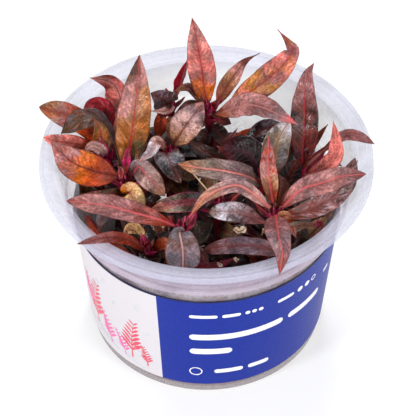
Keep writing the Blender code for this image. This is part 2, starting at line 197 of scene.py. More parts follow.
class Look(NamedTuple):
    """How a blade is coloured: its upper side from stalk to tip, then its blotches, its
    midrib, its underside and margin, how wet it is, which sets its gloss and its painted glints, and
    how its colours lean across it. Its ripple is how high its margins wave. A small leaf has its
    material slot here too."""

    blade: str
    blotch: str = "brown"
    blotches: float = 0.4
    midrib: str = "red_brown"
    underside: str = "wine"
    margin: str = "red_brown"
    wet: float = 0.3
    slant: float = 0.0
    ripple: float = 0.35
    slot: str = "leaf_mauve"


SHOOTS = {
    "left": Shoot((-27, 3), (-36, 3, 79)),
    "near_left": Shoot((-23, -6), (-29, -6, 76)),
    "front_left": Shoot((-14, -26), (-21, -33, 68)),
    "front": Shoot((-6, -21), (-9, -31, 77), 1.5),
    "front_right": Shoot((18, -18), (24, -26, 80), 1.6),
    "back": Shoot((2, 16), (1, 19, 87), 2.0),
    "right": Shoot((27, -3), (34, -4, 78)),
    "mid_left": Shoot((-11, 4), (-14, 6, 78)),
    "mid_right": Shoot((15, -4), (21, -5, 76)),
    "back_left": Shoot((-11, 22), (-13, 28, 81), 1.2),
    "mid_back": Shoot((10, 6), (12, 8, 76)),
    "middle": Shoot((4, -11), (4, -15, 73)),
}

LEAVES = {
    # The tallest shoot, at the back.
    "back_tall": Leaf("back", 83, ((-1, 24, 90), (-2, 25, 100), (-5, 28, 118)), 10, slender=1.7),
    "back_tailed": Leaf(
        "back", 82, ((7, 23, 90), (11, 25, 96), (14, 27, 99), (19, 29, 101)), 6, azimuth=250, rise=40,
        slender=3.2,
    ),
    "back_hooked": Leaf(
        "back", 76, ((12, 21, 86), (22, 23, 94), (30, 25, 104), (29, 26, 108), (25, 29, 112)), 10, cup=0.05,
        fullest=0.52, slender=3.4,
    ),
    "back_arched": Leaf(
        "back", 82, ((12.5, 12, 91), (17.5, 9, 94), (22, 4, 96.5), (27, -1.5, 98), (31.5, -4, 97)), 9,
        rise=60, fullest=0.45,
    ),
    "back_brown": Leaf("back", 80, ((-5, 23, 80), (-11, 25, 76)), 6),
    "back_low": Leaf("back", 63, ((8, 11, 75), (11, 10, 82)), 4),
    # The shoot behind on the left.
    "back_left_crimson": Leaf(
        "back_left", 79, ((-9, 31, 87), (-7, 32, 95)), 5, azimuth=120, rise=20, cup=0.15,
    ),
    "back_left_dark": Leaf("back_left", 78, ((-16, 21, 86), (-20, 20, 90)), 10, slender=1.6),
    # The two shoots on the left.
    "left_orange": Leaf(
        "left", 76, ((-43, 10, 83), (-48, 12.5, 85), (-53, 15, 85.5), (-59.8, 17, 86)), 9, fullest=0.6,
    ),
    "left_blunt": Leaf(
        "left", 77, ((-45, 5, 79), (-51, 6, 79), (-58, 7, 80.5)), 6, fullest=0.55, slender=1.7,
    ),
    "left_magenta": Leaf(
        "left", 78, ((-35, 11, 87), (-37, 13, 90.5), (-40.5, 13, 91), (-43.5, 12, 89)), 5.5, fullest=0.6,
    ),
    "left_folded": Leaf(
        "left", 75, ((-31, 18, 83), (-31, 18, 91), (-34, 18, 97), (-41, 17, 100)), 11, azimuth=250, rise=30,
        cup=0.15, fullest=0.5, slender=2.4,
    ),
    "left_olive": Leaf("left", 78, ((-37, 2, 88), (-39, 1, 95)), 6),
    "near_left_tall": Leaf(
        "near_left", 75, ((-27, 0, 82), (-25, 4, 96), (-23, 13, 114)), 12, rise=30, cup=0.12, fullest=0.45,
        slender=1.7,
    ),
    "near_left_dark": Leaf(
        "near_left", 73, ((-33, 4, 84), (-36.4, 6, 88.5), (-40, 6, 91), (-45, 4, 91), (-51, 1, 88)), 8,
        rise=66, fullest=0.76, slender=5,
    ),
    "near_left_broad": Leaf(
        "near_left", 74, ((-38, -8, 78), (-46, -6, 80), (-51, -2, 82), (-55, 2, 83)), 12, cup=0.08,
        fullest=0.46, slender=2.1,
    ),
    "near_left_cream": Leaf(
        "near_left", 66, ((-27, -12, 72), (-25.3, -15.5, 71), (-24.3, -18, 66.5)), 8.5, fullest=0.6,
    ),
    "near_left_pale": Leaf(
        "near_left", 72, ((-24, -5.5, 78), (-20, -9.5, 76.5), (-14.5, -12.5, 70.5)), 8, fullest=0.55,
        slender=2.2,
    ),
    "near_left_grey": Leaf("near_left", 62, ((-34, -14, 66), (-37, -23, 68), (-37, -27, 66)), 6),
    # The shoot between the left and the middle.
    "mid_left_upright": Leaf("mid_left", 77, ((-7, 8, 86), (-1, 13, 92)), 11, fullest=0.5),
    "mid_left_tan": Leaf("mid_left", 74, ((-19, 5, 78), (-23, 4, 76)), 4),
    "mid_left_dark": Leaf(
        "mid_left", 75, ((-14, -1, 79.5), (-12, -5.5, 79), (-9, -9.5, 74)), 10, rise=75, fullest=0.52,
        slender=2.0,
    ),
    "mid_left_pale": Leaf(
        "mid_left", 77.5, ((-17.5, 1.5, 83.5), (-19.5, -4.5, 84.5), (-24, -10.5, 85)), 4.5,
    ),
    # The front shoots.
    "front_left_long": Leaf(
        "front_left", 66, ((-26, -38, 75), (-32, -41, 80), (-37, -45, 83), (-43, -47, 83)), 4, fullest=0.5,
        slender=1.5,
    ),
    "front_left_orange": Leaf(
        "front_left", 60, ((-15.5, -31.5, 64.5), (-13, -34, 67), (-10.5, -36, 66.5)), 6.5, cup=0.05,
        fullest=0.55, slender=2.0,
    ),
    "front_long": Leaf(
        "front", 75, ((-16, -33, 80), (-23, -33, 83), (-31, -31, 84), (-40, -28, 83), (-48, -24, 80)), 8,
        rise=60, fullest=0.55, slender=1.7,
    ),
    "front_drooping": Leaf(
        "front", 73, ((-9, -37, 77), (-8, -42, 74), (-8, -45, 67)), 12, cup=0.08, fullest=0.66,
    ),
    "front_brown": Leaf("front", 58, ((-2, -34, 64), (1, -38, 62)), 5),
    "middle_speckled": Leaf("middle", 72, ((-9, -25, 80), (-19, -26, 78)), 7, fullest=0.5, slender=1.7),
    "middle_olive": Leaf("middle", 70, ((1, -10, 75), (-3, -8, 72)), 6),
    # The rosette at the front right.
    "front_right_twisted": Leaf(
        "front_right", 79, ((12, -28, 91), (5, -29, 91), (-1, -29, 86), (-6, -30, 78)), 5, cup=0.2,
    ),
    "front_right_speckled": Leaf(
        "front_right", 70, ((12, -28, 78), (6, -28, 79), (1, -27, 77)), 7, fullest=0.62, slender=1.7,
    ),
    "front_right_mauve": Leaf(
        "front_right", 64, ((23, -37, 70), (18, -39, 73), (11, -40, 75), (5, -40, 74), (-1, -38, 70)), 6,
        fullest=0.6, slender=1.5,
    ),
    "front_right_hanging": Leaf(
        "front_right", 77, ((24, -46, 86), (25, -54, 86), (24, -60, 82)), 9, rise=50, cup=0.08,
        fullest=0.45,
    ),
    "front_right_glossy": Leaf(
        "front_right", 74, ((34, -26, 77), (40, -24, 79), (45, -21, 81), (49, -15, 82), (52, -6, 83)), 8,
        fullest=0.5, slender=1.6,
    ),
    "front_right_pink": Leaf(
        "front_right", 77, ((32, -23, 84), (40, -22, 87), (47, -19, 87), (55, -16, 85)), 8, fullest=0.5,
        slender=1.7,
    ),
    "front_right_upright": Leaf("front_right", 79, ((21, -20, 92), (21, -17, 104)), 6, slender=1.6),
    "front_right_wine": Leaf(
        "front_right", 76, ((29, -14, 82), (32, -10, 86)), 9, fullest=0.5, slender=1.3,
    ),
    # The shoots in the middle, right and behind the middle.
    "mid_right_grey": Leaf(
        "mid_right", 75, ((23.2, -8, 83), (24.4, -6, 90), (26.8, -3, 94), (28.9, -1.5, 96)), 9.5,
        fullest=0.55, slender=1.4,
    ),
    "mid_right_black": Leaf("mid_right", 72, ((14.5, 1, 78), (6, 7, 76)), 12, fullest=0.48, slender=1.4),
    "mid_right_long": Leaf(
        "mid_right", 70, ((14, -14, 82), (5, -13, 84), (-2, -11, 83), (-10, -6, 80)), 8, rise=60, cup=0.08,
        fullest=0.5, slender=1.6,
    ),
    "mid_back_purple": Leaf("mid_back", 73, ((20, 10, 81), (28, 14, 80)), 7, fullest=0.5, slender=1.6),
    "right_tall": Leaf(
        "right", 76, ((34, -1, 87), (34, 3, 96), (34, 5, 105), (35, 9, 109), (37, 11, 112)), 10, rise=35,
        slender=1.6,
    ),
    "right_coral": Leaf(
        "right", 72, ((41, -5, 77), (45, -4, 82), (45, -2, 89), (44, 0, 95)), 6, slender=1.8,
    ),
    "right_far": Leaf(
        "right", 77, ((43, -1, 84), (48, 1, 87), (53, 1, 87), (59, 0, 84)), 4, fullest=0.68, slender=3.0,
    ),
}

# The blades that show between the big ones, too small for a solid of their own.
SMALL_LEAVES = {
    "left_curl": Leaf("left", 77, ((-37, -1, 82), (-40, -2, 85), (-43, -2, 82)), 4, fullest=0.5),
    "left_young": Leaf("left", 77, ((-36, 0, 82), (-38, 2, 86)), 2.5),
    "near_left_young": Leaf("near_left", 74, ((-28, -3, 80), (-27, -1, 85)), 3),
    "near_left_bud": Leaf("near_left", 74, ((-30, -7, 78), (-31, -8, 81)), 2.5),
    "back_left_edge": Leaf("back_left", 79, ((-14, 16, 85), (-20, 16, 85)), 4, rise=70),
    "back_left_rust": Leaf("back_left", 74, ((-16, 24, 75), (-17, 22, 71), (-18, 20, 67)), 5, fullest=0.5),
    "back_left_olive": Leaf("back_left", 72, ((-12.6, 24, 74), (-13, 21, 72), (-14, 18, 69)), 4),
    "mid_left_maroon": Leaf("mid_left", 74, ((-19, 4, 81), (-21, 5, 85)), 4, fullest=0.55, slender=1.2),
    "back_left_long": Leaf("back", 84, ((-6, 24, 89), (-12, 24, 87)), 3.5),
    "back_dark_left": Leaf("back", 81, ((-0.5, 19.5, 81), (-2, 18, 79), (-3.4, 16, 75.6)), 5, fullest=0.5),
    "back_dark_right": Leaf(
        "back", 81, ((2.5, 19.5, 81), (5.2, 19, 78.5), (8.9, 18, 76.7)), 5, fullest=0.5,
    ),
    "back_dark_low": Leaf("back", 75, ((2.5, 17, 76), (5, 14, 75), (7.1, 12, 71.4)), 6, fullest=0.5),
    "back_dark_under": Leaf(
        "back", 74, ((-0.3, 16, 75), (-1.6, 13, 73.5), (-2.3, 11, 69.4)), 6, fullest=0.5,
    ),
    "back_orange": Leaf("mid_back", 68, ((12, 14, 73), (17, 16, 77)), 4),
    "right_orange": Leaf("right", 74, ((36, 2, 79), (39, 5, 82), (43, 8, 86)), 3.5),
    "right_magenta": Leaf("right", 73, ((39, 0, 77), (43, 3, 81)), 3.5),
    "right_low": Leaf("right", 68, ((40, 1, 73), (45, 0, 75), (48, -2, 75)), 5),
    "front_right_young": Leaf("front_right", 77, ((27, -20, 82), (25, -15, 84)), 4),
    "front_right_strip": Leaf("front_right", 76, ((28, -16, 79), (28, -9, 81)), 2.5),
    "front_right_low": Leaf("front_right", 75, ((27, -30, 79), (30, -29, 77)), 3.5),
    "front_right_edge": Leaf("front_right", 66, ((29, -25, 69), (31, -30, 68)), 4),
    "front_left_cream": Leaf("front_left", 62, ((-25, -26, 67), (-29, -27, 67)), 6, fullest=0.6),
    "front_left_red": Leaf("front_left", 58, ((-32, -30, 62), (-39, -25, 66), (-43, -19, 69)), 4),
    "near_left_low": Leaf("near_left", 65, ((-37, -12, 70), (-44, -14, 73)), 5),
    "near_left_moss": Leaf("near_left", 66, ((-34, -11, 70), (-41, -14, 71)), 4),
    "mid_back_dark": Leaf("mid_back", 66, ((1, 8, 71), (-8, 11, 76)), 6),
    "mid_left_low": Leaf("mid_left", 62, ((-16, -2, 66), (-18, -8, 66)), 8, fullest=0.6),
    "middle_back_low": Leaf("middle", 60, ((2, -8, 64), (-2, -2, 66)), 8, fullest=0.6),
    "middle_left_low": Leaf("middle", 58, ((-1, -15, 62), (-7, -14, 63)), 8, fullest=0.6),
    "middle_low": Leaf("middle", 58, ((8, -22, 62), (15, -25, 63)), 6),
    "front_low": Leaf("front", 54, ((2, -35, 58), (10, -33, 61)), 4),
    "front_right_tan": Leaf("front_right", 64, ((33, -27, 71), (38, -27, 70)), 4),
    "right_thread": Leaf("right", 72, ((44, -9, 76), (51, -8, 78), (53, -6, 82)), 1.8),
}

LOOKS = {
    "back_tall": Look("rust amber dusty_pink coral dusty_pink dusty_pink mauve", "coral", 0.25, "crimson"),
    "back_tailed": Look("orange rust tan dusty_pink brown brown", "rust"),
    "back_hooked": Look("purple_grey mauve coral honey mauve coral mauve mauve", "honey", 0.35, "crimson"),
    "back_arched": Look(
        "amber dusty_pink dusty_pink mauve grey_mauve rose", "grey_mauve", midrib="dusty_pink",
    ),
    "back_brown": Look("olive brown mauve brown", "olive"),
    "back_low": Look("wine red_brown mauve mauve", "wine"),
    "back_left_crimson": Look("mauve mauve crimson crimson", "crimson", 0.2, underside="crimson"),
    "back_left_dark": Look(
        "red_brown brown purple_grey dark_brown", "slate", 0.7, "brown", wet=0.9, ripple=1.0,
    ),
    "left_orange": Look("orange orange orange orange mauve tan moss", "orange", 0.5, "rust"),
    "left_blunt": Look("orange rust rust coral dusty_pink coral", "rust", midrib="rust", underside="rose"),
    "left_magenta": Look("black_wine crimson crimson wine", "crimson", 0.5, underside="crimson"),
    "left_folded": Look(
        "dark_brown brown mauve coral coral red_brown rust", "rose", 0.5, underside="crimson",
        margin="pale_pink",
    ),
    "left_olive": Look("brown olive ochre olive brown", "rust", 0.5, "crimson", margin="tan", wet=0.4),
    "near_left_tall": Look(
        "moss olive ochre ochre tan dusty_pink dusty_pink brown", "ochre", midrib="crimson", wet=0.5,
        slant=-0.2,
    ),
    "near_left_dark": Look(
        "olive brown purple_grey brown dark_brown", "slate", 0.5, "brown", "magenta", "olive",
    ),
    "near_left_broad": Look("wine rust orange amber mauve dusty_pink mauve", "orange", midrib="wine"),
    "near_left_cream": Look("moss amber cream cream rust", "amber", 0.7, "rose", wet=0.6),
    "near_left_pale": Look("brown grey_mauve pale_pink tan", blotches=0.6, midrib="rose", wet=0.5),
    "near_left_grey": Look("dark_brown slate slate brown", "dark_brown", 0.6, wet=0.7),
    "mid_left_upright": Look(
        "brown tan pale_pink grey_mauve dusty_pink", "dark_brown", 0.55, "wine", ripple=0.9,
    ),
    "mid_left_tan": Look("tan rust olive tan", "coral"),
    # mid_left_dark: the slate in the middle of its colours is a painted blue-grey sheen.
    "mid_left_dark": Look(
        "tan brown slate black_wine brown", "black_wine", 0.6, "wine", wet=1.0, ripple=0.9,
    ),
    "mid_left_pale": Look("tan pale_pink film pale_pink", "grey_mauve", 0.3, "dusty_pink"),
    "front_left_long": Look("red_brown rust rust mauve mauve", "red_brown", underside="rose"),
    "front_left_orange": Look("rust orange tan", "rust", midrib="rust"),
    "front_long": Look("crimson rust mauve mauve dusty_pink mauve", "red_brown", 0.3, "rose"),
    "front_drooping": Look(
        "dusty_pink slate grey_mauve slate grey_mauve", blotches=0.6, midrib="pale_pink",
    ),
    "front_brown": Look("brown dark_brown wine", "dark_brown", wet=0.8),
    "middle_speckled": Look(
        "grey_mauve slate moss grey_green tan", "dark_brown", 0.8, "brown", margin="magenta",
    ),
    "middle_olive": Look("moss olive moss", wet=0.7),
    "front_right_twisted": Look(
        "dusty_pink pale_pink grey_mauve pale_pink tan rust", "mauve", midrib="coral", underside="magenta",
    ),
    "front_right_speckled": Look("red_brown mauve grey_mauve film grey_green", "dark_brown", 0.7, "mauve"),
    "front_right_mauve": Look("wine mauve purple_grey purple_grey red_brown", "dark_brown", 0.5, wet=0.6),
    "front_right_hanging": Look("coral mauve mauve grey_mauve mauve rust", "purple_grey", midrib="rose"),
    "front_right_glossy": Look("rust red_brown mauve dark_brown wine", "dark_brown", 0.6, wet=1.0),
    "front_right_pink": Look("rust dusty_pink mauve dusty_pink mauve mauve", "grey_mauve", midrib="rose"),
    "front_right_upright": Look(
        "orange rust tan dusty_pink rust mauve dusty_pink", "orange", 0.7, "rose", wet=0.5,
    ),
    "front_right_wine": Look(
        "black_wine black_wine black_wine black_wine", "black_wine", midrib="black_wine", margin="rust",
        wet=0.1,
    ),
    "mid_right_grey": Look(
        "brown grey_green slate grey_green film", "olive", 0.6, "olive", margin="tan", wet=0.5,
    ),
    # mid_right_black: its paler purple-grey margin is a painted highlight along its rim.
    "mid_right_black": Look(
        "black_wine black_wine black_wine wine", "black_wine", 0.6, "wine", margin="purple_grey", wet=0.15,
    ),
    "mid_right_long": Look("brown grey_green grey_mauve grey_green tan", blotches=0.35, midrib="coral"),
    "mid_back_purple": Look(
        "black_wine black_wine purple_grey", "purple_grey", 0.6, "wine", wet=1.0, ripple=0.9,
    ),
    "right_tall": Look(
        "black_wine wine red_brown dark_brown mauve mauve mauve", "rust", midrib="crimson", wet=0.8,
    ),
    "right_coral": Look("rust coral coral coral coral", "grey_mauve", 0.05, "coral", "coral"),
    "right_far": Look("red_brown rust mauve mauve purple_grey", "rust", midrib="mauve"),
    "left_curl": Look("pale_pink pale_pink dusty_pink", "mauve", 0.3, "pale_pink"),
    "left_young": Look("fuchsia fuchsia rose", slot="leaf_crimson"),
    "near_left_young": Look("crimson fuchsia crimson", slot="leaf_crimson"),
    "near_left_bud": Look("rose rose pale_pink", slot="leaf_crimson"),
    "back_left_edge": Look("pale_pink dusty_pink pale_pink"),
    "back_left_long": Look("brown mauve tan"),
    "back_left_rust": Look("rust orange rust", "crimson", slot="leaf_orange"),
    "back_left_olive": Look("olive moss brown", "tan", slot="leaf_brown"),
    "mid_left_maroon": Look("black_wine wine black_wine", "black_wine", wet=0.8, slot="leaf_dark"),
    "back_dark_left": Look("wine red_brown black_wine", "black_wine", wet=0.8, slot="leaf_dark"),
    "back_dark_right": Look("wine rust wine", "black_wine", wet=0.8, slot="leaf_dark"),
    "back_dark_low": Look("black_wine dark_brown mauve", "black_wine", wet=0.8, slot="leaf_dark"),
    "back_dark_under": Look("black_wine dark_brown moss", "black_wine", wet=0.8, slot="leaf_dark"),
    "back_orange": Look("rust orange rust", "rust", slot="leaf_orange"),
    "right_orange": Look("orange orange rust brown", slot="leaf_orange"),
    "right_magenta": Look("magenta magenta purple_grey", slot="leaf_crimson"),
    "right_low": Look("rust red_brown dark_brown", "orange", wet=0.7, slot="leaf_brown"),
    "front_right_young": Look("rust brown dark_brown", slot="leaf_brown"),
    "front_right_strip": Look("orange orange rust", slot="leaf_orange"),
    "front_right_low": Look("coral tan rust"),
    "front_right_edge": Look("rust orange pale_pink", slot="leaf_orange"),
    "front_left_cream": Look("tan cream tan", "olive", slot="leaf_orange"),
    "front_left_red": Look("rust orange rust", slot="leaf_orange"),
    "near_left_low": Look("dark_brown brown rust", wet=0.7, slot="leaf_brown"),
    "near_left_moss": Look("olive moss grey_green", slot="leaf_brown"),
    "mid_back_dark": Look("moss dark_brown moss", wet=1.0, slot="leaf_dark"),
    "middle_low": Look("moss olive moss", wet=0.9, slot="leaf_dark"),
    "mid_left_low": Look("dark_brown red_brown dark_brown", wet=0.9, slot="leaf_dark"),
    "middle_back_low": Look("moss dark_brown moss", wet=0.9, slot="leaf_dark"),
    "middle_left_low": Look("black_wine dark_brown wine", wet=0.9, slot="leaf_dark"),
    "front_low": Look("wine dark_brown wine", margin="magenta", slot="leaf_dark"),
    "front_right_tan": Look("tan grey_green tan", slot="leaf_brown"),
    "right_thread": Look("coral rose coral", slot="leaf_crimson"),
}

# From this wetness up, a blade's side veins are dark.
VEINS_DARK_FROM = 0.55

# The small leaves of the stems, the wall and the growing tips: colours to vary between, wetness.
SIDE_LEAF_COLOURS = "black_wine black_wine dark_brown black_wine moss dark_brown wine olive red_brown rust"
WALL_LEAF_COLOURS = "dark_brown moss wine brown olive mauve rust grey_mauve dusty_pink cream magenta tan"
CRUMB_COLOURS = "white root cream white"
YOUNG_LEAF_COLOURS = "wine crimson red_brown magenta wine rust dusty_pink"
SMALL_LEAF_WET = 0.65
YOUNG_LEAF_WET = 0.5

# The youngest leaves' share of the way along their colours, where a shoot's own differs.
YOUNG_TINTS = {
    "front_right": (0.8, 1.0),
    "front": (0.2, 0.9),
    "left": (0.35, 0.65),
    "mid_right": (0.0, 0.2),
    "mid_left": (0.5, 0.9),
}

# A fan of small leaves stands in for each plain side leaf: turn, share of its reach, and rise.
FINE_LEAF_WIDTH = 8.0
SIDE_LEAF_FAN = ((0, 1.0, 32), (-38, 0.85, 20), (34, 0.8, 44), (12, 0.7, 4))

# The mesh of every small leaf outside the table, and how high its margins wave.
TINY_ROWS, TINY_COLUMNS = 18, 6
TINY_RIPPLE = 0.4

# Leaves that press against the wall: their turns, where they start, their length and width.
WALL_LEAF_TURNS = range(106, 412, 9)
WALL_LEAF_START = (44.0, 58.0)
WALL_LEAF_INSET = 6.5
WALL_LEAF_LENGTH = (10.0, 15.0)
WALL_LEAF_WIDTH = (5.0, 8.0)
WALL_LEAF_TOP_RADIUS = 46.5

# Pale crumbs, each a pair of curled scraps of old leaf: place and size.
CRUMBS = (((11.6, -30.0, 70.7), 2.8), ((10.5, -40.0, 67.4), 1.4), ((4.6, -42.0, 67.1), 1.3))

# The youngest leaves: how far below the stem's top, their rise, length and width.
YOUNG_PAIRS = ((9.0, 42, 11.0, 4.4), (7.5, 56, 9.0, 3.6), (6.5, 70, 7.0, 2.8), (5.5, 80, 5.5, 2.0))

# Pale roots and bare stalks between the leaves.
ROOTS = (
    ((-10, 2, 77), (-5, -6, 76), (1, -14, 74)),
    ((-15, -25, 68), (-15, -24, 65), (-15, -23, 58)),
    ((20, -24, 66), (19, -25, 62), (18, -26, 56)),
)
ROOT_RADII = (0.42, 0.22)
ROOT_STEPS = 24

# The label reaches as far to both sides of the front. A turn on it is in degrees from the front,
# and grows to the right. UNPRINTED is a place on its map where the film is white. Above a share
# of its rise near its top, a thin line of painted shadow runs along the label's top edge.
LABEL_REACH = 150.0
LABEL_LEVELS = 9
BLUE_START, BLUE_END = -21.2, 118.0
UNPRINTED = 0.1
TOP_SHADOW_FROM = 0.988
INK_LIFT = 0.05
INK_THICKNESS = 0.03
BAR_STEPS = 36
# Bars: the turn and height where each starts, its length in degrees and half of its height.
BARS = (
    (-7.3, 46.4, 12.0, 0.85),
    (6.6, 46.4, 8.0, 0.85),
    (31.6, 46.4, 8.6, 0.85),
    (-7.5, 34.2, 43.0, 1.6),
    (38.5, 34.2, 21.0, 1.6),
    (-7.5, 25.6, 19.0, 1.6),
    (3.6, 13.0, 13.5, 1.15),
    (19.5, 13.0, 10.5, 1.15),
    (62.0, 42.0, 5.0, 0.8),
)
# Dots, rings and bubbles: turn, height and radius.
DOTS = ((17.6, 46.4, 0.9), (20.6, 46.4, 0.9), (23.6, 46.4, 0.9), (43.8, 46.4, 1.25), (48.2, 46.4, 1.25))
RINGS = ((52.6, 46.4, 1.1), (-4.9, 13.0, 2.2))
RING_HALF = 0.22
BUBBLES = (
    (-56.0, 41.0, 1.3),
    (-50.5, 46.0, 0.9),
    (-45.0, 37.5, 0.8),
    (-31.0, 43.0, 1.2),
    (-27.0, 29.0, 0.8),
)
BUBBLE_HALF = 0.16
RING_POINTS = 25
# Sprigs in two inks: turn and height of the foot, height, and lean in degrees.
ROSE_SPRIGS = ((-62.0, 13.0, 25.0, 5.0), (-37.0, 10.0, 22.0, 3.0), (-28.5, 9.0, 11.0, -2.0))
PINK_SPRIGS = ((-66.0, 20.0, 17.0, -2.0), (-51.0, 9.5, 16.0, -4.0), (-41.5, 9.0, 12.0, -5.0))
SPRIG_PAIRS = 7
SPRIG_STEPS = 14
# Ripples: turn, height and length.
RIPPLES = (
    (-70.0, 12.0, 22.0),
    (-62.0, 9.6, 26.0),
    (-48.0, 12.6, 24.0),
    (-44.0, 7.6, 18.0),
    (-36.0, 16.0, 12.0),
)
RIPPLE_STEPS = 24

# The lamps: name, place, size and power, in metres and watts. All of them point at AIM.
LAMPS = (
    ("left", (-0.65, -0.5, 0.65), 0.2, 5.9),
    ("right", (0.65, -0.55, 0.55), 0.25, 3.7),
    ("front", (0.1, -0.95, 0.15), 0.5, 3.1),
    ("back", (0.05, 0.55, 0.9), 0.2, 5.0),
)
AIM = (0, 0, 0.05)
FLOOR_REACH = 4.0
FLOOR_TONE, FLOOR_GLOW = (0.42, 0.42, 0.43, 1), 0.58
SKY_TONE, SKY_STRENGTH = (0.97, 0.98, 1.0, 1), 0.36

# The camera stands at the photo's viewing angle, 46 degrees above level, with a long lens.
CAMERA_PLACE = (0.00055, -0.4394, 0.5066)
CAMERA_AIM = (0.00055, 0.0, 0.0516)
CAMERA_LENS, CAMERA_SENSOR = 150, 36

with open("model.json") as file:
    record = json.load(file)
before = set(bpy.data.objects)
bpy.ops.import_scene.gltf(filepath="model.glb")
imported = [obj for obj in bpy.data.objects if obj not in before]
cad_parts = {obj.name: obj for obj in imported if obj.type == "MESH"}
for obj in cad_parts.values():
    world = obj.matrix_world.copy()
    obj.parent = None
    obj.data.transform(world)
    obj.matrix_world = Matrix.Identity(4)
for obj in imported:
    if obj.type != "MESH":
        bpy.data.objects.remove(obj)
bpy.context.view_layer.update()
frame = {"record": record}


def smooth_path(points, count):
    """Evenly spaced points along a smooth curve through a few points."""
    points = np.array(points, float)
    ends = np.vstack([2 * points[0] - points[1], points, 2 * points[-1] - points[-2]])
    t = np.linspace(0, 1, 24, endpoint=False)[:, None]
    spans = [
        0.5 * (2 * b + (c - a) * t + (2 * a - 5 * b + 4 * c - d) * t**2 + (3 * b - a - 3 * c + d) * t**3)
        for a, b, c, d in zip(ends, ends[1:], ends[2:], ends[3:])
    ]
    curve = np.vstack(spans + [points[-1:]])
    travelled = np.concatenate([[0], np.cumsum(np.linalg.norm(np.diff(curve, axis=0), axis=1))])
    wanted = np.linspace(0, travelled[-1], count)
    return np.column_stack([np.interp(wanted, travelled, curve[:, i]) for i in range(3)])


def direction(azimuth, rise):
    """Unit vector at a compass angle from +X towards +Y, and an angle above level."""
    a, r = np.radians(azimuth), np.radians(rise)
    return np.array([np.cos(a) * np.cos(r), np.sin(a) * np.cos(r), np.sin(r)])


def cup_outer_radius(height):
    return BASE_RADIUS + TAPER * height


def stem_path(shoot, count=6):
    """The middle line of a stem: upright out of the gel, then leaning to its top."""
    foot = np.array((*shoot.foot, GEL_TOP + GAP))
    top = np.array(shoot.top, float)
    knee = foot + KNEE_LEAN * (top - foot)
    knee[2] = KNEE_HEIGHT * top[2]
    return smooth_path([foot, knee, top], count)


def stem_point(shoot, height):
    """The point of a stem's middle line at a height."""
    path = stem_path(shoot, 40)
    return np.array([np.interp(height, path[:, 2], path[:, i]) for i in range(3)])


def leaf_midrib(leaf):
    """The points that a blade's midrib passes, from the stem's surface to the tip."""
    shoot = SHOOTS[leaf.shoot]
    axis = stem_point(shoot, leaf.leaves_at)
    outward = np.array(leaf.midrib[0], float) - axis
    outward[2] = 0
    outward /= np.linalg.norm(outward)
    start = axis + outward * (shoot.radius + GAP + 0.5 * BLADE_THICKNESS)
    return [start, *leaf.midrib]


def half_width(leaf, s):
    """Half of a blade's width at a share s of its length: a stalk, a lance shape and a point."""
    bell = (s / leaf.fullest) ** (leaf.slender * leaf.fullest)
    bell *= ((1 - s) / (1 - leaf.fullest)) ** (leaf.slender * (1 - leaf.fullest))
    stalk = PETIOLE_WIDTH * (1 - s) + TIP_WIDTH * s
    return 0.5 * np.maximum(stalk, leaf.width * bell)


def blade_frame(midrib, leaf, rows):
    """Along a midrib: its points, the way across the blade, and the way that it faces."""
    path = smooth_path(midrib, rows + 1)
    tangents = np.gradient(path, axis=0)
    tangents /= np.linalg.norm(tangents, axis=1)[:, None]
    up = direction(leaf.azimuth, leaf.rise)
    normals = up - (tangents @ up)[:, None] * tangents
    normals /= np.linalg.norm(normals, axis=1)[:, None]
    sides = np.cross(tangents, normals)
    turn = np.radians(leaf.twist) * np.linspace(0, 1, rows + 1)[:, None]
    return (
        path,
        np.cos(turn) * sides + np.sin(turn) * normals,
        np.cos(turn) * normals - np.sin(turn) * sides,
    )


def blade_points(leaf, rows, columns):
    """The middle surface of a plain blade, as rows from stem to tip and columns across."""
    path, sides, normals = blade_frame(leaf_midrib(leaf), leaf, rows)
    half = half_width(leaf, np.linspace(0, 1, rows + 1))[:, None]
    t = np.linspace(-1, 1, columns + 1)
    lift = 2 * leaf.cup * np.abs(t) ** CUP_CURVE * half
    return path[:, None] + sides[:, None] * (t * half)[..., None] + normals[:, None] * lift[..., None]


def sampled(points, radii):
    """Points and radii as one array, to measure distances between leaves and stems."""
    return np.column_stack([points, np.broadcast_to(radii, len(points))])


def filled_space():
    """Balls that fill the stems and the big blades."""
    balls = [sampled(stem_path(shoot, 30), shoot.radius) for shoot in SHOOTS.values()]
    for leaf in LEAVES.values():
        for column in blade_points(leaf, 12, 4).transpose(1, 0, 2):
            balls.append(sampled(column, BLADE_CLEARANCE))
    return np.vstack(balls)


def side_leaf_line(axis, azimuth, radius, length):
    """Points along a side leaf, and half of its width at each."""
    along = np.linspace(radius + SIDE_LEAF_STALK, radius + length, SIDE_LEAF_STEPS)
    half = 0.5 * SIDE_LEAF_WIDTH * np.sin(np.pi * np.linspace(*SIDE_LEAF_ENDS, SIDE_LEAF_STEPS))
    return axis + direction(azimuth, SIDE_LEAF_RISE) * along[:, None], half


def room_around(line, half, balls):
    """The least distance from a side leaf to what is there, to the cup and to the clear space."""
    apart = np.linalg.norm(line[:, None] - balls[None, :, :3], axis=2) - balls[None, :, 3]
    to_cup = cup_outer_radius(line[:, 2]) - WALL - np.hypot(line[:, 0], line[:, 1])
    box = np.maximum(np.array(CLEAR_LOW) - line, line - np.array(CLEAR_HIGH))
    to_clear = np.linalg.norm(np.maximum(box, 0), axis=1)
    return (np.minimum(np.minimum(apart.min(axis=1), to_cup), to_clear) - half).min()


def roomiest(axis, radius, others):
    """The way and length of the side leaf that has most room: the longest that fits at all."""
    for length in SIDE_LEAF_LENGTHS:
        tries = []
        for azimuth in range(0, 360, SIDE_LEAF_TURN):
            line, half = side_leaf_line(axis, azimuth, radius, length)
            tries.append((room_around(line, half, others), azimuth))
        spare, azimuth = max(tries, key=lambda found: found[0])
        if spare > ROOM:
            return azimuth, length
    return None


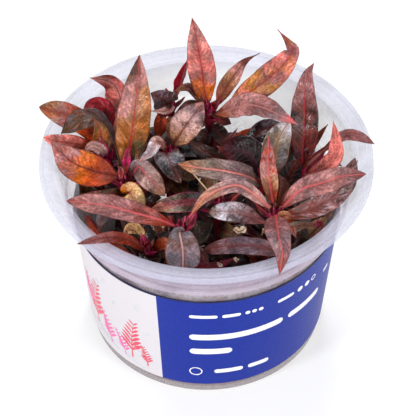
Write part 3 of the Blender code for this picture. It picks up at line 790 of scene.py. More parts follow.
def place_side_leaves():
    """For each shoot, the small leaves low on its stem: where each leaves the stem's middle
    line, the way it points, and how far it reaches. Each points to where there is most room."""
    balls = filled_space()
    placed = {name: [] for name in SHOOTS}
    for height in SIDE_LEAF_HEIGHTS:
        for name, shoot in SHOOTS.items():
            axis = stem_point(shoot, height)
            others = balls[np.linalg.norm(balls[:, :3] - axis, axis=1) > shoot.radius + OWN_STEM]
            for _ in range(SIDE_LEAVES_PER_HEIGHT):
                found = roomiest(axis, shoot.radius, others)
                if found is None:
                    break
                azimuth, length = found
                placed[name].append((axis, azimuth, shoot.radius + length))
                leaf = sampled(*side_leaf_line(axis, azimuth, shoot.radius, length))
                others = np.vstack([others, leaf])
                balls = np.vstack([balls, leaf])
    return placed


def colour(name):
    """A named screen colour as the light values that Blender mixes."""
    share = np.array(COLOURS[name]) / 255
    return (*np.where(share > 0.04045, ((share + 0.055) / 1.055) ** 2.4, share / 12.92), 1)


class Value:
    """What a node puts out. Arithmetic on it adds the nodes for that."""

    def __init__(self, shader, socket):
        self.shader = shader
        self.socket = socket

    def __add__(self, other):
        return self.shader.math("ADD", self, other)

    def __sub__(self, other):
        return self.shader.math("SUBTRACT", self, other)

    def __mul__(self, other):
        return self.shader.math("MULTIPLY", self, other)

    def __truediv__(self, other):
        return self.shader.math("DIVIDE", self, other)

    def spread(self, low, high, to_low=0.0, to_high=1.0):
        """The stretch from low to high, smoothly spread to another stretch."""
        numbers = (self, low, high, to_low, to_high)
        return self.shader.node("MapRange", numbers, interpolation_type="SMOOTHSTEP")


class Shader:
    """One material's nodes, added by short calls. What is fed to a node may be a Value, a
    number, or a colour's name."""

    def __init__(self, name, **sockets):
        self.material = bpy.data.materials.new(name)
        self.material.use_nodes = True
        self.tree = self.material.node_tree
        self.surface = self.tree.nodes["Principled BSDF"]
        self.set(**sockets)

    def set(self, **sockets):
        """Feeds the surface's own sockets. Their names have _ in place of a space."""
        for name, value in sockets.items():
            self.feed(self.surface.inputs[name.replace("_", " ")], value)

    def feed(self, socket, value):
        if isinstance(value, Value):
            self.tree.links.new(value.socket, socket)
        else:
            socket.default_value = colour(value) if isinstance(value, str) else value

    def node(self, kind, inputs=(), output=0, **settings):
        """Adds a node and gives one of its outputs. Its inputs go by their order, or by key."""
        made = self.tree.nodes.new("ShaderNode" + kind)
        for key, value in settings.items():
            setattr(made, key, value)
        for key, value in inputs.items() if isinstance(inputs, dict) else enumerate(inputs):
            self.feed(made.inputs[key], value)
        return Value(self, made.outputs[output])

    def math(self, operation, *values):
        return self.node("Math", values, operation=operation)

    def mix(self, share, first, second, blend="MIX"):
        """Two colours mixed. The mixing node's colours are its inputs 6 and 7."""
        return self.node("Mix", {0: share, 6: first, 7: second}, 2, data_type="RGBA", blend_type=blend)

    def noise(self, place, scale, detail=3):
        return self.node("TexNoise", {"Vector": place, "Scale": scale, "Detail": detail})

    def ramp(self, value, names):
        """Colours by name, evenly placed from 0 to 1."""
        made = self.node("ValToRGB", (value,))
        elements = made.socket.node.color_ramp.elements
        names = names.split()
        while len(elements) < len(names):
            elements.new(0.5)
        for i, name in enumerate(names):
            elements[i].position = i / (len(names) - 1)
            elements[i].color = colour(name)
        return made

    def place(self):
        """Where a point is in the frame, in metres."""
        return self.node("TexCoord", output="Object")

    def parts(self, vector):
        """A vector's three parts."""
        first = self.node("SeparateXYZ", (vector,))
        return [Value(self, socket) for socket in first.socket.node.outputs]

    def attribute(self, name):
        return self.node("Attribute", output="Fac", attribute_name=name)

    def bump(self, height, distance, strength=0.5):
        normal = self.node("Bump", {"Height": height, "Distance": distance, "Strength": strength})
        self.set(Normal=normal)
        return normal


def blade_shader(name, wet):
    """A leaf's material with what every leaf shares: the share along the blade and the signed
    share across it."""
    shader = Shader(name, Coat_Weight=0.9 * wet, Coat_Roughness=0.06, IOR=1.45, Specular_IOR_Level=0.12)
    along, across, _ = shader.parts(shader.node("UVMap", uv_map="blade"))
    return shader, along, across * 2.0 - 1.0


def finish_blade(shader, tint, along, side, wet, vein_tone, midrib_tone, margin_tone, under_tone):
    """Adds to a blade's colour its clouds, painted wet glints, side veins, midrib, margin and underside."""
    place = shader.place()
    off = shader.math("ABSOLUTE", side)
    spine = shader.attribute("spine")
    slanted = along - off * VEIN_SLANT
    strokes = shader.node("CombineXYZ", (slanted * 26.0, side * 2.4, shader.parts(place)[2] * 60.0))
    streaks = shader.noise(strokes, 1.0, 4)
    clouds = shader.noise(place, 190, 4)
    grain = shader.noise(place, 1250)
    cells = {"Vector": place, "Scale": 850}
    net = shader.node("TexVoronoi", cells, "Distance", feature="DISTANCE_TO_EDGE").spread(0.0, 0.12)

    veins = shader.math("COSINE", slanted * VEIN_WAVES).spread(0.8, 1.0) * off.spread(1.0, 0.5)
    rib = (spine / (along * -0.36 + 0.5)).spread(1.2, 0.5)
    flank = spine.spread(1.7, 0.5)
    margin = (grain * 0.06 + off).spread(0.95, 1.01)
    # film marks pale streaky patches: painted glints of a wet sheen, as strong as the blade is wet.
    film = streaks.spread(0.56, 0.62) * clouds.spread(0.5, 0.58)

    shade = clouds.spread(0.36, 0.62, 0.7, 1.2) * streaks.spread(0.34, 0.66, 0.7, 1.25)
    shade = shade * grain.spread(0.34, 0.66, 0.72, 1.28) * net.spread(0.0, 1.0, 1.1, 0.97)
    shade = shader.node("CombineColor", (shade, shade, shade))
    tint = shader.mix(1.0, tint, shade, "MULTIPLY")
    for share, tone in (
        # painted glints of a wet sheen, in the pale film colour
        (film * (0.4 * wet), "film"),
        (veins * 0.16, vein_tone),
        (flank * 0.3, margin_tone),
        (margin * 0.6, margin_tone),
        (rib * 0.68, midrib_tone),
    ):
        tint = shader.mix(share, tint, tone)
    under = shader.mix(1.0, under_tone, shade, "MULTIPLY")
    under = shader.mix(veins * 0.35, under, "rose")
    under = shader.mix(rib * 0.6, under, "dusty_pink")

    height = streaks * 1.3 + grain * 0.3 + net * 0.16 - veins * 0.3
    normal = shader.bump(height, 0.0003 + 0.0002 * wet)
    dull = 0.5 - 0.16 * wet
    shader.set(
        Base_Color=shader.mix(shader.attribute("underside"), tint, under),
        Roughness=(streaks + clouds).spread(0.75, 1.25, dull - 0.1, dull + 0.14),
        Coat_Normal=normal,
    )


def leaf_material(name, look):
    """One big blade: colours from stalk to tip, blotched, over what every blade has."""
    shader, along, side = blade_shader(name, look.wet)
    place = shader.place()
    drift = (shader.noise(place, 170) - 0.5) * 0.55 + along
    tint = shader.ramp(side * look.slant + drift, look.blade)
    patches = shader.noise(place, 240, 5).spread(0.53, 0.58)
    tint = shader.mix(patches * look.blotches, tint, look.blotch)
    vein = "dusty_pink" if look.wet < VEINS_DARK_FROM else "dark_brown"
    finish_blade(shader, tint, along, side, look.wet, vein, look.midrib, look.margin, look.underside)
    return shader.material


def side_leaf_material(name, colours):
    """Small leaves, each with a colour of its own between a few."""
    shader, along, side = blade_shader(name, SMALL_LEAF_WET)
    own = (shader.noise(shader.place(), 260) - 0.5) * 0.5 + shader.attribute("tint")
    tint = shader.ramp(own, colours)
    finish_blade(shader, tint, along, side, SMALL_LEAF_WET, "red_brown", "wine", "dark_brown", "wine")
    return shader.material


def young_leaf_material():
    """The youngest leaves, crimson to magenta."""
    shader, along, side = blade_shader("young_leaf", YOUNG_LEAF_WET)
    tint = shader.ramp(along * 0.4 + shader.attribute("tint") * 0.6, YOUNG_LEAF_COLOURS)
    finish_blade(shader, tint, along, side, YOUNG_LEAF_WET, "rose", "rose", "wine", "magenta")
    return shader.material


def stem_material():
    """Fleshy dark red, streaked along the stem, paler low down."""
    shader = Shader("stem", Coat_Weight=0.2, Coat_Roughness=0.2)
    place = shader.place()
    lengthwise = shader.node("VectorMath", (place, (1.0, 1.0, 0.12)), operation="MULTIPLY")
    streaks = shader.noise(lengthwise, 1500)
    low = shader.parts(place)[2].spread(0.055, 0.018)
    tint = shader.mix(streaks.spread(0.35, 0.7), "wine", "crimson")
    tint = shader.mix(low * 0.7, tint, "root")
    shader.set(Base_Color=tint, Roughness=streaks.spread(0.3, 0.7, 0.28, 0.5))
    shader.bump(streaks, 0.0003)
    return shader.material


def root_material():
    """Pale and a little uneven."""
    shader = Shader("root", Coat_Weight=0.3, Coat_Roughness=0.2)
    patches = shader.noise(shader.place(), 500)
    tint = shader.mix(patches.spread(0.35, 0.7), "root", "tan")
    shader.set(Base_Color=tint, Roughness=patches.spread(0.3, 0.7, 0.3, 0.5))
    return shader.material


def cup_material():
    """Milky plastic with a faint haze and fine scuffs: bluish on the flange and mauve on the collar.
    Towards the back the wall is painted paler, a painted glow that stands in for light through
    the plastic. Blurred patches show where plants press against it, at the front of the neck and low
    on the wall; their near-white parts are painted light that lifts the neck out of the flange's shade.
    The foot is darker, where the floor's edge is."""
    shader = Shader("cup_plastic", Alpha=0.38, IOR=1.49, Subsurface_Weight=0.25, Subsurface_Scale=0.02)
    shader.set(Subsurface_Radius=(1.0, 1.0, 1.0))
    place = shader.place()
    _, depth, height = shader.parts(place)
    haze = shader.noise(place, 28)
    flange = shader.mix(haze, (0.54, 0.555, 0.70, 1), (0.58, 0.59, 0.73, 1))
    collar = shader.mix(haze, (0.58, 0.48, 0.64, 1), (0.66, 0.56, 0.71, 1))
    # Painted glow: the wall turns near white towards the back, standing in for light through the plastic.
    painted_back_glow = shader.mix(haze, (0.95, 0.94, 0.98, 1), (0.98, 0.97, 0.99, 1))
    foot = shader.mix(haze, (0.24, 0.17, 0.195, 1), (0.27, 0.19, 0.215, 1))
    patches = shader.noise(place, 120, 4).spread(0.3, 0.7)
    # Plants seen through the wall, in patches; their near-white parts are painted light that brightens the
    # neck in the flange's shade.
    plants_and_painted_light = shader.ramp(patches, "grey_mauve film white pale_pink white pale_pink white white")

    wall = shader.mix(depth.spread(-0.01, 0.02), collar, painted_back_glow)
    tint = shader.mix(height.spread(0.0770, 0.0700), flange, wall)
    front_neck = depth.spread(-0.005, -0.03) * height.spread(0.0615, 0.0608)
    seen = shader.math("MAXIMUM", front_neck, height.spread(0.056, 0.05))
    tint = shader.mix(seen * 0.6, tint, plants_and_painted_light)
    tint = shader.mix(height.spread(0.0060, 0.0045), tint, foot)
    scuffs = shader.noise(place, 420)
    shader.set(Base_Color=tint, Roughness=scuffs.spread(0.3, 0.7, 0.24, 0.32))
    return shader.material


def gel_material():
    """Wet beige gel with darker clouds where roots and old leaves lie in it."""
    shader = Shader("gel", IOR=1.35, Subsurface_Weight=0.2, Subsurface_Scale=0.004, Roughness=0.12)
    place = shader.place()
    clouds = shader.noise(place, 140, 4)
    specks = shader.noise(place, 900, 2).spread(0.62, 0.72)
    tint = shader.mix(clouds.spread(0.4, 0.65), (0.55, 0.44, 0.37, 1), (0.36, 0.26, 0.21, 1))
    shader.set(Base_Color=shader.mix(specks * 0.5, tint, "brown"))
    shader.bump(clouds, 0.0006)
    return shader.material


def label_material():
    """Printed satin film: a blue panel, a white panel with a pale wash, and painted shade at its top edge.
    """
    shader = Shader("label_print", Specular_IOR_Level=0.2, IOR=1.45)
    place = shader.place()
    turn, rise, _ = shader.parts(shader.node("UVMap", uv_map="wrap"))
    before = shader.math("LESS_THAN", turn, 0.5 + BLUE_END / 360)
    after = shader.math("GREATER_THAN", turn, 0.5 + BLUE_START / 360)
    wash = shader.noise(place, 55, 4).spread(0.5, 0.68) * rise.spread(0.5, 0.12)
    white = shader.mix(wash * 0.6, "panel", "wash")
    grain = shader.noise(place, 2600, 2)
    blue = shader.mix(grain.spread(0.35, 0.65), "blue", "deep_blue")
    tint = shader.mix(before * after, white, blue)
    # A thin dark line along the top edge: the painted shadow of the label's edge.
    painted_top_shadow = shader.math("GREATER_THAN", rise, TOP_SHADOW_FROM)
    shader.set(Base_Color=shader.mix(painted_top_shadow, tint, "ink"), Roughness=grain.spread(0.3, 0.7, 0.34, 0.46))
    shader.bump(shader.noise(place, 35, 2), 0.0006, 0.35)
    return shader.material


def ink_material(name, tone):
    """A printed colour, a little uneven as ink is."""
    shader = Shader(name, Coat_Weight=0.15, Coat_Roughness=0.3)
    grain = shader.noise(shader.place(), 1800)
    deeper = (*(0.8 * share for share in colour(tone)[:3]), 1)
    tint = shader.mix(grain.spread(0.35, 0.7), tone, deeper)
    shader.set(Base_Color=tint, Roughness=grain.spread(0.3, 0.7, 0.34, 0.46))
    return shader.material


class Shell(NamedTuple):
    """A blade as a closed thin shell: its corner points and faces, and for each corner its
    place along and across the blade, whether it is underneath, and its distance to the midrib."""

    corners: np.ndarray
    faces: np.ndarray
    uv: np.ndarray
    underside: np.ndarray
    spine: np.ndarray


def shell_lift(leaf, s, t, half, length, ripple, rng):
    """How far a blade's surface lifts at shares s along it and t across it, and how far its
    outline strays: cupped, ruffled along the margins, arched, dented, and raised at its veins."""
    off = np.abs(t)
    swell = half / half.max()
    left, right, bend, quilt = rng.uniform(0, 2 * np.pi, 4)
    waves = 2 * np.pi * length / WAVE_LENGTH * s
    ruffle = np.where(t < 0, np.sin(waves + left), np.sin(1.13 * waves + right)) * off**RUFFLE_CURVE
    arch = ARCH_HEIGHT * np.sin(2 * np.pi * ARCHES * s + bend)
    dents = DENT_HEIGHT * np.sin(1.5 * waves + 2.6 * t + quilt)
    dents = dents * np.sin(3.4 * t + 9.0 * s + bend) * off**0.5
    veins = VEIN_HEIGHT * np.cos(VEIN_WAVES * (s - VEIN_SLANT * off)) * (1 - off)
    lift = 2 * leaf.cup * off**CUP_CURVE * half + swell * (ripple * (ruffle + arch + dents) + veins)
    return lift, 1 + OUTLINE_STRAY * np.sin(0.8 * waves + right) * np.sign(t)


def shell_faces(rows, columns):
    """The faces of a shell: its upper side, its lower side, and the rim between them."""
    index = np.arange((rows + 1) * (columns + 1)).reshape(rows + 1, columns + 1)
    under = index + index.size
    upper = np.stack([index[:-1, :-1], index[:-1, 1:], index[1:, 1:], index[1:, :-1]], -1)
    lower = np.stack([under[:-1, :-1], under[1:, :-1], under[1:, 1:], under[:-1, 1:]], -1)
    edge = np.concatenate([index[:, 0], index[-1, 1:], index[-2::-1, -1], index[0, -2:0:-1]])
    after = np.roll(edge, -1)
    rim = np.stack([edge, after, after + index.size, edge + index.size], -1)
    return np.vstack([upper.reshape(-1, 4), lower.reshape(-1, 4), rim])


def blade_shell(midrib, leaf, rows, columns, ripple, rng):
    """A blade along a midrib, with columns that lie closer together near the midrib."""
    path, sides, normals = blade_frame(midrib, leaf, rows)
    s = np.linspace(0, 1, rows + 1)[:, None]
    even = np.linspace(-1, 1, columns + 1)[None, :]
    t = np.sign(even) * np.abs(even) ** COLUMN_CROWDING
    half = half_width(leaf, s)
    across = t * half
    length = np.linalg.norm(np.diff(path, axis=0), axis=1).sum()
    lift, stray = shell_lift(leaf, s, t, half, length, ripple, rng)

    groove = GROOVE_DEPTH * half / half.max() * np.exp(-((across / GROOVE_WIDTH) ** 2))
    keel = KEEL_DEPTH * (1 - s) * np.exp(-((across / KEEL_WIDTH) ** 2))
    thick = MARGIN_THICKNESS + MIDDLE_THICKNESS * (1 - t**2) + STALK_THICKNESS * np.exp(-s / STALK_SHARE)
    thick = thick * np.sqrt(np.clip(1 - np.abs(t) ** 6, 0.05, 1))
    middle = path[:, None] + sides[:, None] * (across * stray)[..., None]
    upper = middle + normals[:, None] * (lift - groove + 0.5 * thick)[..., None]
    lower = middle + normals[:, None] * (lift - 0.6 * groove - 0.5 * thick - keel)[..., None]

    along, over = np.broadcast_arrays(s, t)
    uv = np.stack([along, 0.5 + 0.5 * over], -1).reshape(-1, 2)
    return Shell(
        np.vstack([upper.reshape(-1, 3), lower.reshape(-1, 3)]),
        shell_faces(rows, columns),
        np.vstack([uv, uv]),
        np.repeat([0.0, 1.0], along.size),
        np.tile(np.abs(across).ravel(), 2),
    )


def small_blade(start, azimuth, rise, length, width, sag, rng):
    """A small leaf that leaves a stem at an angle and sags towards its tip."""
    share = np.array([0.0, 0.35, 0.7, 1.0])
    midrib = start + direction(azimuth, rise) * length * share[:, None]
    midrib[:, 2] -= sag * share**2
    twist = rng.uniform(-25, 25)
    leaf = Leaf("", 0, (), width, azimuth + 180, 90 - rise, twist, cup=0.12, fullest=0.45, slender=1.8)
    return blade_shell(midrib, leaf, TINY_ROWS, TINY_COLUMNS, TINY_RIPPLE, rng)


def add_object(name, data):
    made = bpy.data.objects.new(name, data)
    bpy.context.scene.collection.objects.link(made)
    return made


def add_piece(name, mesh, finish):
    mesh.materials.clear()
    mesh.materials.append(finish)
    return add_object(name, mesh)


def add_drawn(name, shape, finish):
    """A piece from a bmesh, which is used up."""
    mesh = bpy.data.meshes.new(name)
    shape.to_mesh(mesh)
    shape.free()
    return add_piece(name, mesh, finish)


def dress(piece, slot, *nodes):
    """Puts a piece on the body and hides the plain solids that it stands for. Its slot is not used."""
    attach(piece, "root")
    if nodes:
        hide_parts(*nodes)


def add_blades(name, shells, tints, finish):
    """One object from one or more blades, with what the blade materials read."""
    mesh = bpy.data.meshes.new(name)
    counts = [len(shell.corners) for shell in shells]
    firsts = np.cumsum([0] + counts)
    corners = np.vstack([shell.corners for shell in shells]) * MM
    faces = np.vstack([shell.faces + first for shell, first in zip(shells, firsts)])
    mesh.from_pydata(corners.tolist(), [], faces.tolist())
    loops = np.empty(len(mesh.loops), int)
    mesh.loops.foreach_get("vertex_index", loops)
    layer = mesh.uv_layers.new(name="blade")
    layer.data.foreach_set("uv", np.vstack([shell.uv for shell in shells])[loops].ravel())
    read = {
        "underside": np.concatenate([shell.underside for shell in shells]),
        "spine": np.concatenate([shell.spine for shell in shells]),
        "tint": np.repeat(tints, counts),
    }
    for key, numbers in read.items():
        mesh.attributes.new(key, "FLOAT", "POINT").data.foreach_set("value", numbers)
    mesh.shade_smooth()
    return add_piece(name, mesh, finish)


def add_leaves():
    """The big blades in place of their solids, then the small ones that show between them."""
    slots = {sub["node"]: sub["material_slot"] for sub in frame["record"]["subparts"]}
    for seed, (name, leaf) in enumerate((LEAVES | SMALL_LEAVES).items()):
        look = LOOKS[name]
        coarser = 2 if name in SMALL_LEAVES else 1
        rows, columns = LEAF_ROWS // coarser, LEAF_COLUMNS // coarser
        rng = np.random.default_rng(seed)
        shells = [blade_shell(leaf_midrib(leaf), leaf, rows, columns, look.ripple, rng)]
        finish = leaf_material("blade_" + name, look)
        if name in SMALL_LEAVES:
            dress(add_blades("small_" + name, shells, [0.5], finish), look.slot)
        else:
            node = "leaf_" + name
            dress(add_blades("blade_" + name, shells, [0.5], finish), slots[node], node)


def room_to_wall(start, azimuth):
    """How far a leaf can reach from a point before it meets the cup's wall."""
    out = direction(azimuth, 0)[:2]
    across = start[:2] @ out
    wall = cup_outer_radius(start[2]) - WALL - GAP
    return np.sqrt(across**2 + wall**2 - start[:2] @ start[:2]) - across


def add_side_leaves(placed, finish):
    """Low on each stem, a fan of small leaves in the place of each plain one."""
    for seed, (name, leaves) in enumerate(placed.items()):
        rng = np.random.default_rng(seed)
        inside = 0.6 * SHOOTS[name].radius
        shells = []
        for axis, azimuth, reach in leaves:
            for turn, share, rise in SIDE_LEAF_FAN:
                way = azimuth + turn + rng.uniform(-6, 6)
                start = axis + direction(way, 0) * inside
                start[2] += rng.uniform(-1.5, 1.5)
                length = min(reach * share, room_to_wall(start, way)) - inside
                width = FINE_LEAF_WIDTH * rng.uniform(0.8, 1.15)
                shells.append(small_blade(start, way, rise + rng.uniform(-5, 5), length, width, 1.0, rng))
        tints = rng.uniform(0, 1, len(shells)) ** 1.5
        dress(add_blades("side_leaves_" + name, shells, tints, finish), "leaf_dark")


def add_wall_leaves(finish):
    """Small leaves between the shoots and the wall, which slant up along it."""
    rng = np.random.default_rng(7)
    shells = []
    for turn in WALL_LEAF_TURNS:
        low = rng.uniform(*WALL_LEAF_START)
        around = turn + rng.uniform(-4, 4)
        start = direction(around, 0) * (cup_outer_radius(low) - WALL - WALL_LEAF_INSET)
        start[2] = low
        length = rng.uniform(*WALL_LEAF_LENGTH)
        rise = rng.uniform(40, 70)
        way = around + rng.choice([-1, 1]) * rng.uniform(20, 60)
        tip = start + direction(way, 0) * length * np.cos(np.radians(rise))
        over = np.hypot(tip[0], tip[1]) - WALL_LEAF_TOP_RADIUS
        start[:2] -= direction(around, 0)[:2] * max(over, 0)
        width = rng.uniform(*WALL_LEAF_WIDTH)
        shells.append(small_blade(start, way, rise, length, width, 0.5, rng))
    dress(add_blades("wall_leaves", shells, rng.uniform(0, 1, len(shells)), finish), "leaf_dark")


def add_crumbs(finish):
    """Pale crumbs of old leaves that lie between the shoots."""
    rng = np.random.default_rng(3)
    shells = []
    for place, size in CRUMBS:
        for _ in range(2):
            shells.append(small_blade(np.array(place), rng.uniform(0, 360), 25, size, size, 0.2, rng))
    dress(add_blades("crumbs", shells, rng.uniform(0, 1, len(shells)), finish), "leaf_orange")


def add_young_leaves(finish):
    """At each growing tip, pairs of young leaves that stand closer the younger they are."""
    for seed, (name, shoot) in enumerate(SHOOTS.items()):
        rng = np.random.default_rng(100 + seed)
        shells = []
        turn = rng.uniform(0, 180)
        for below, rise, length, width in YOUNG_PAIRS:
            start = stem_point(shoot, shoot.top[2] - below)
            for azimuth in (turn, turn + 180):
                way = azimuth + rng.uniform(-12, 12)
                shells.append(small_blade(start, way, rise, length, width, 0.4, rng))
            turn += 90
        tints = rng.uniform(*YOUNG_TINTS.get(name, (0.0, 1.0)), len(shells))
        dress(add_blades("young_leaves_" + name, shells, tints, finish), "leaf_crimson")


def add_tube(name, points, radii, finish, resolution=3):
    """A round strand along points, as a mesh with closed ends."""
    curve = bpy.data.curves.new(name, "CURVE")
    curve.dimensions = "3D"
    curve.bevel_depth = MM
    curve.bevel_resolution = resolution
    curve.use_fill_caps = True
    spline = curve.splines.new("POLY")
    spline.points.add(len(points) - 1)
    for point, place, radius in zip(spline.points, points, radii):
        point.co = (*(place * MM), 1)
        point.radius = radius
    rod = add_object(name + "_curve", curve)
    mesh = bpy.data.meshes.new_from_object(rod.evaluated_get(bpy.context.evaluated_depsgraph_get()))
    bpy.data.objects.remove(rod)
    shape = bmesh.new()
    shape.from_mesh(mesh)
    bmesh.ops.remove_doubles(shape, verts=shape.verts, dist=WELD * MM)
    tube = add_drawn(name, shape, finish)
    tube.data.shade_smooth()
    return tube


def add_stems(finish):
    """Each stem with a swelling where a pair of leaves grows, up to below its youngest leaves."""
    for name, shoot in SHOOTS.items():
        path = stem_path(shoot, STEM_STEPS)
        radii = shoot.radius * np.linspace(FOOT_SCALE, TOP_SCALE, len(path))
        for height in (*SIDE_LEAF_HEIGHTS, shoot.top[2] - TOP_SWELLING_BELOW):
            radii *= 1 + SWELLING * np.exp(-(((path[:, 2] - height) / SWELLING_WIDTH) ** 2))
        keep = path[:, 2] < shoot.top[2] - STEM_END
        piece = add_tube("stem_" + name + "_fine", path[keep], radii[keep], finish)
        dress(piece, "stem", "stem_" + name)


def add_roots(finish):
    """Pale roots and bare stalks that show between the leaves."""
    for number, points in enumerate(ROOTS, 1):
        radii = np.linspace(*ROOT_RADII, ROOT_STEPS)
        piece = add_tube("root_%d" % number, smooth_path(points, ROOT_STEPS), radii, finish, 2)
        dress(piece, "stem")


def add_turned(name, profile, finish):
    """A round piece: a profile of radius and height, turned about the cup's axis."""
    mesh = bpy.data.meshes.new(name)
    points = [(radius * MM, 0, height * MM) for radius, height in profile]
    mesh.from_pydata(points, [(i, i + 1) for i in range(len(points) - 1)], [])
    made = add_piece(name, mesh, finish)
    screw = made.modifiers.new("turn", "SCREW")
    screw.steps = screw.render_steps = CUP_STEPS
    screw.use_merge_vertices = True
    screw.merge_threshold = WELD * MM
    screw.use_smooth_shade = True
    return made


def add_cup(finish):
    """The cup, with rounded edges, and two low rings on its flange."""
    inner_neck = cup_outer_radius(LEDGE_HEIGHT) - WALL
    lip_radius = FLANGE_RADIUS + LIP_FLARE
    lip_height = CUP_HEIGHT - LIP_DROP
    slope = (CUP_HEIGHT - COLLAR_HEIGHT) / (FLANGE_RADIUS - COLLAR_RADIUS)
    rings = []
    for radius in FLANGE_RINGS:
        height = COLLAR_HEIGHT + slope * (radius - COLLAR_RADIUS)
        rings += [(radius - RING_FOOT, height), (radius - RING_FLAT, height - RING_DEPTH)]
        rings += [(radius + RING_FLAT, height - RING_DEPTH), (radius + RING_FOOT, height)]
    profile = [
        (0, FLOOR),
        (BASE_RADIUS - WALL, FLOOR),
        (inner_neck, LEDGE_HEIGHT - LEDGE_SLOPE),
        (inner_neck + LEDGE_WIDTH, LEDGE_HEIGHT),
        (COLLAR_RADIUS, COLLAR_HEIGHT),
        *rings,
        (FLANGE_RADIUS, CUP_HEIGHT),
        (lip_radius, lip_height),
        (lip_radius - LIP_WALL, lip_height),
        (FLANGE_RADIUS - COLLAR_WALL, CUP_HEIGHT - FLANGE_THICKNESS),
        (COLLAR_RADIUS + COLLAR_WALL, COLLAR_HEIGHT - COLLAR_WALL),
        (inner_neck + 2 * LEDGE_WIDTH, COLLAR_BOTTOM),
        (BEAD_RADIUS, BEAD_TOP),
        (BEAD_RADIUS, BEAD_BOTTOM),
        (cup_outer_radius(NECK_HEIGHT), NECK_HEIGHT),
        (BASE_RADIUS, 0),
        (0, 0),
    ]
    piece = add_turned("cup_moulded", profile, finish)
    soften = piece.modifiers.new("rounded edges", "BEVEL")
    soften.width = EDGE_ROUNDING * MM
    soften.segments = 3
    soften.limit_method = "ANGLE"
    soften.angle_limit = np.radians(20)
    dress(piece, "cup_plastic", "cup")


def add_gel(finish):
    """The gel, which climbs a little where it meets the wall."""
    bottom = FLOOR + GAP
    rim = cup_outer_radius(GEL_TOP) - WALL - 2 * GAP
    profile = []
    for radius in np.linspace(0, rim, GEL_STEPS):
        drop = GEL_CLIMB * (1 - np.exp(-(rim - radius) / GEL_CLIMB_WIDTH))
        profile.append((radius, GEL_TOP - drop))
    profile += [(cup_outer_radius(bottom) - WALL - 2 * GAP, bottom), (0, bottom)]
    dress(add_turned("gel_layer", profile, finish), "gel", "gel")


def label_radius(height):
    return cup_outer_radius(height) + GAP + LABEL_THICKNESS


def label_point(turn, height, lift=0.0):
    """A point at a turn round the label and a height, so far outside the label's face."""
    out = label_radius(height) + lift
    return out * MM * np.sin(np.radians(turn)), -out * MM * np.cos(np.radians(turn)), height * MM


def add_label(finish):
    """The wrapped film, open at the back, with its turn and rise as a map for the print. The
    inner side takes its map from the unprinted part."""
    shape = bmesh.new()
    wrap = shape.loops.layers.uv.new("wrap")
    turns = np.linspace(-LABEL_REACH, LABEL_REACH, CUP_STEPS + 1)
    levels = np.linspace(LABEL_BOTTOM, LABEL_TOP, LABEL_LEVELS)
    rows = []
    for lift, heights in ((0.0, levels), (-LABEL_THICKNESS, levels[::-1])):
        for height in heights:
            rows.append([shape.verts.new(label_point(turn, height, lift)) for turn in turns])
    for number, (lower, upper) in enumerate(zip(rows, rows[1:] + rows[:1])):
        printed = number < len(levels)
        for step in range(CUP_STEPS):
            face = shape.faces.new((lower[step], lower[step + 1], upper[step + 1], upper[step]))
            for loop, turn in zip(face.loops, turns[[step, step + 1, step + 1, step]]):
                rise = (loop.vert.co.z / MM - LABEL_BOTTOM) / (LABEL_TOP - LABEL_BOTTOM)
                loop[wrap].uv = (0.5 + turn / 360 if printed else UNPRINTED, rise)
    for step in (0, CUP_STEPS):
        ends = [row[step] for row in rows]
        outer, inner = ends[: len(levels)], ends[: len(levels) - 1 : -1]
        for i in range(len(levels) - 1):
            corners = (outer[i], outer[i + 1], inner[i + 1], inner[i])
            shape.faces.new(corners if step == 0 else corners[::-1])
    piece = add_drawn("label_film", shape, finish)
    piece.data.shade_smooth()
    piece.data.set_sharp_from_angle(angle=np.radians(40))
    dress(piece, "label_print", "label")


def strip(shape, line, halves):
    """A printed strip on the label: a middle line of turn in degrees and height, with half of
    its width at each point. Turn 0 is the front, and grows to the right."""
    line = np.array(line, float)
    scale = np.radians(label_radius(line[:, 1].mean()))
    flat = line * (scale, 1)
    way = np.gradient(flat, axis=0)
    way /= np.maximum(np.linalg.norm(way, axis=1), 1e-9)[:, None]
    across = np.column_stack([-way[:, 1], way[:, 0]]) * np.array(halves)[:, None]
    edges = []
    for edge in (flat - across, flat + across):
        edges.append([shape.verts.new(label_point(x / scale, height, INK_LIFT)) for x, height in edge])
    low, high = edges
    for i in range(len(line) - 1):
        shape.faces.new((low[i], low[i + 1], high[i + 1], high[i]))


def rounded_bar(turn, height, length, half):
    """The line and half widths of a level bar with round ends."""
    share = 0.5 - 0.5 * np.cos(np.linspace(0, np.pi, BAR_STEPS))
    inward = np.minimum(share, 1 - share) * length * np.radians(label_radius(height))
    halves = half * np.sqrt(np.clip(1 - np.clip(1 - inward / half, 0, 1) ** 2, 0.0004, 1))
    return np.column_stack([turn + length * share, np.full(len(share), height)]), halves


def draw_ring(shape, turn, height, radius, half):
    """A ring on the label: half is how far its line reaches to each side."""
    around = np.linspace(0, 2 * np.pi, RING_POINTS)
    scale = np.radians(label_radius(height))
    line = np.column_stack([turn + radius * np.cos(around) / scale, height + radius * np.sin(around)])
    strip(shape, line, np.full(RING_POINTS, half))


def draw_bars(shape):
    """Plain bars where a label has its lines, with plain dots and rings."""
    for bar in BARS:
        strip(shape, *rounded_bar(*bar))
    for turn, height, radius in DOTS:
        draw_ring(shape, turn, height, 0.5 * radius, 0.5 * radius)
    for ring in RINGS:
        draw_ring(shape, *ring, RING_HALF)


def draw_bubbles(shape):
    """Pale rings of air that rise past the sprigs, and ripples at their feet."""
    for bubble in BUBBLES:
        draw_ring(shape, *bubble, BUBBLE_HALF)
    share = np.linspace(0, 1, RIPPLE_STEPS)
    for turn, height, length in RIPPLES:
        line = np.column_stack([turn + length * share, height + 0.7 * np.sin(7.0 * share + turn)])
        strip(shape, line, 0.04 + 0.16 * np.sin(np.pi * share))


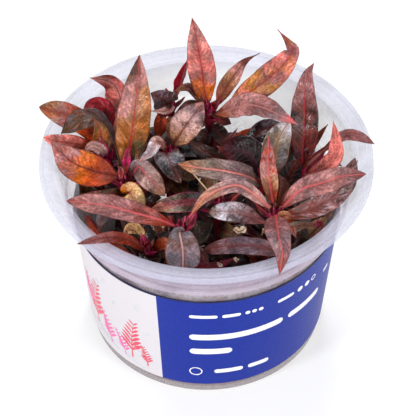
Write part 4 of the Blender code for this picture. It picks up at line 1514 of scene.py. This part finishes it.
def draw_sprigs(shape, sprigs):
    """Upright sprigs with paired slender leaves, each pair shorter than the one below."""
    share = np.linspace(0, 1, SPRIG_STEPS)
    for turn, foot, tall, lean in sprigs:
        strip(shape, np.column_stack([turn + lean * share**2, foot + tall * share]), 0.25 * (1.2 - share))
        for pair in np.linspace(0.2, 0.96, SPRIG_PAIRS):
            reach = 0.4 * tall * (1.1 - 0.75 * pair)
            heights = foot + tall * pair + reach * (0.95 * share - 0.3 * share**2)
            halves = 0.1 * reach * np.sin(np.pi * np.clip(share, 0.02, 0.98)) ** 0.8
            for side in (-1, 1):
                turns = turn + lean * pair**2 + side * reach * 0.75 * share
                strip(shape, np.column_stack([turns, heights]), halves)


def add_print(name, ink, tone, draw, *sprigs):
    """One ink layer: whatever draw puts in the mesh, as a film of its own."""
    shape = bmesh.new()
    draw(shape, *sprigs)
    piece = add_drawn(name, shape, ink_material(ink, tone))
    film = piece.modifiers.new("ink", "SOLIDIFY")
    film.thickness = INK_THICKNESS * MM
    film.offset = 0
    dress(piece, "label_print")


def add_aimed(name, data, place, target):
    """A lamp or camera at a place, turned towards a target."""
    made = add_object(name, data)
    made.location = place
    made.rotation_euler = (Vector(target) - made.location).to_track_quat("-Z", "Y").to_euler()
    return made


def add_stage():
    """A pale floor, a soft sky, and soft lamps at the left, right, front and back."""
    shader = Shader("floor", Roughness=0.6, Base_Color=FLOOR_TONE)
    shader.set(Emission_Color=(1, 1, 1, 1), Emission_Strength=FLOOR_GLOW)
    floor = bpy.data.meshes.new("floor")
    signs = ((-1, -1), (1, -1), (1, 1), (-1, 1))
    floor.from_pydata([(x * FLOOR_REACH, y * FLOOR_REACH, 0) for x, y in signs], [], [(0, 1, 2, 3)])
    add_piece("floor", floor, shader.material)

    world = bpy.data.worlds.new("studio")
    world.use_nodes = True
    sky = world.node_tree.nodes["Background"]
    sky.inputs["Color"].default_value = SKY_TONE
    sky.inputs["Strength"].default_value = SKY_STRENGTH
    bpy.context.scene.world = world
    for name, place, size, power in LAMPS:
        lamp = bpy.data.lights.new(name, "AREA")
        lamp.size = size
        lamp.energy = power
        add_aimed(name, lamp, place, AIM)


def add_camera():
    camera = bpy.data.cameras.new("camera")
    camera.lens = CAMERA_LENS
    camera.sensor_width = CAMERA_SENSOR
    bpy.context.scene.camera = add_aimed("camera", camera, CAMERA_PLACE, CAMERA_AIM)


def main():
    bpy.context.scene.view_settings.view_transform = "Standard"
    add_camera()
    add_stage()
    add_cup(cup_material())
    add_gel(gel_material())
    add_label(label_material())
    add_print("label_bars", "ink_white", "white", draw_bars)
    add_print("label_pink_sprigs", "ink_pink", "print_pink", draw_sprigs, PINK_SPRIGS)
    add_print("label_rose_sprigs", "ink_rose", "print_rose", draw_sprigs, ROSE_SPRIGS)
    add_print("label_bubbles", "ink_wash", "wash", draw_bubbles)
    add_stems(stem_material())
    add_leaves()
    add_side_leaves(place_side_leaves(), side_leaf_material("side_leaf", SIDE_LEAF_COLOURS))
    add_wall_leaves(side_leaf_material("wall_leaf", WALL_LEAF_COLOURS))
    add_crumbs(side_leaf_material("crumb", CRUMB_COLOURS))
    add_young_leaves(young_leaf_material())
    add_roots(root_material())


main()
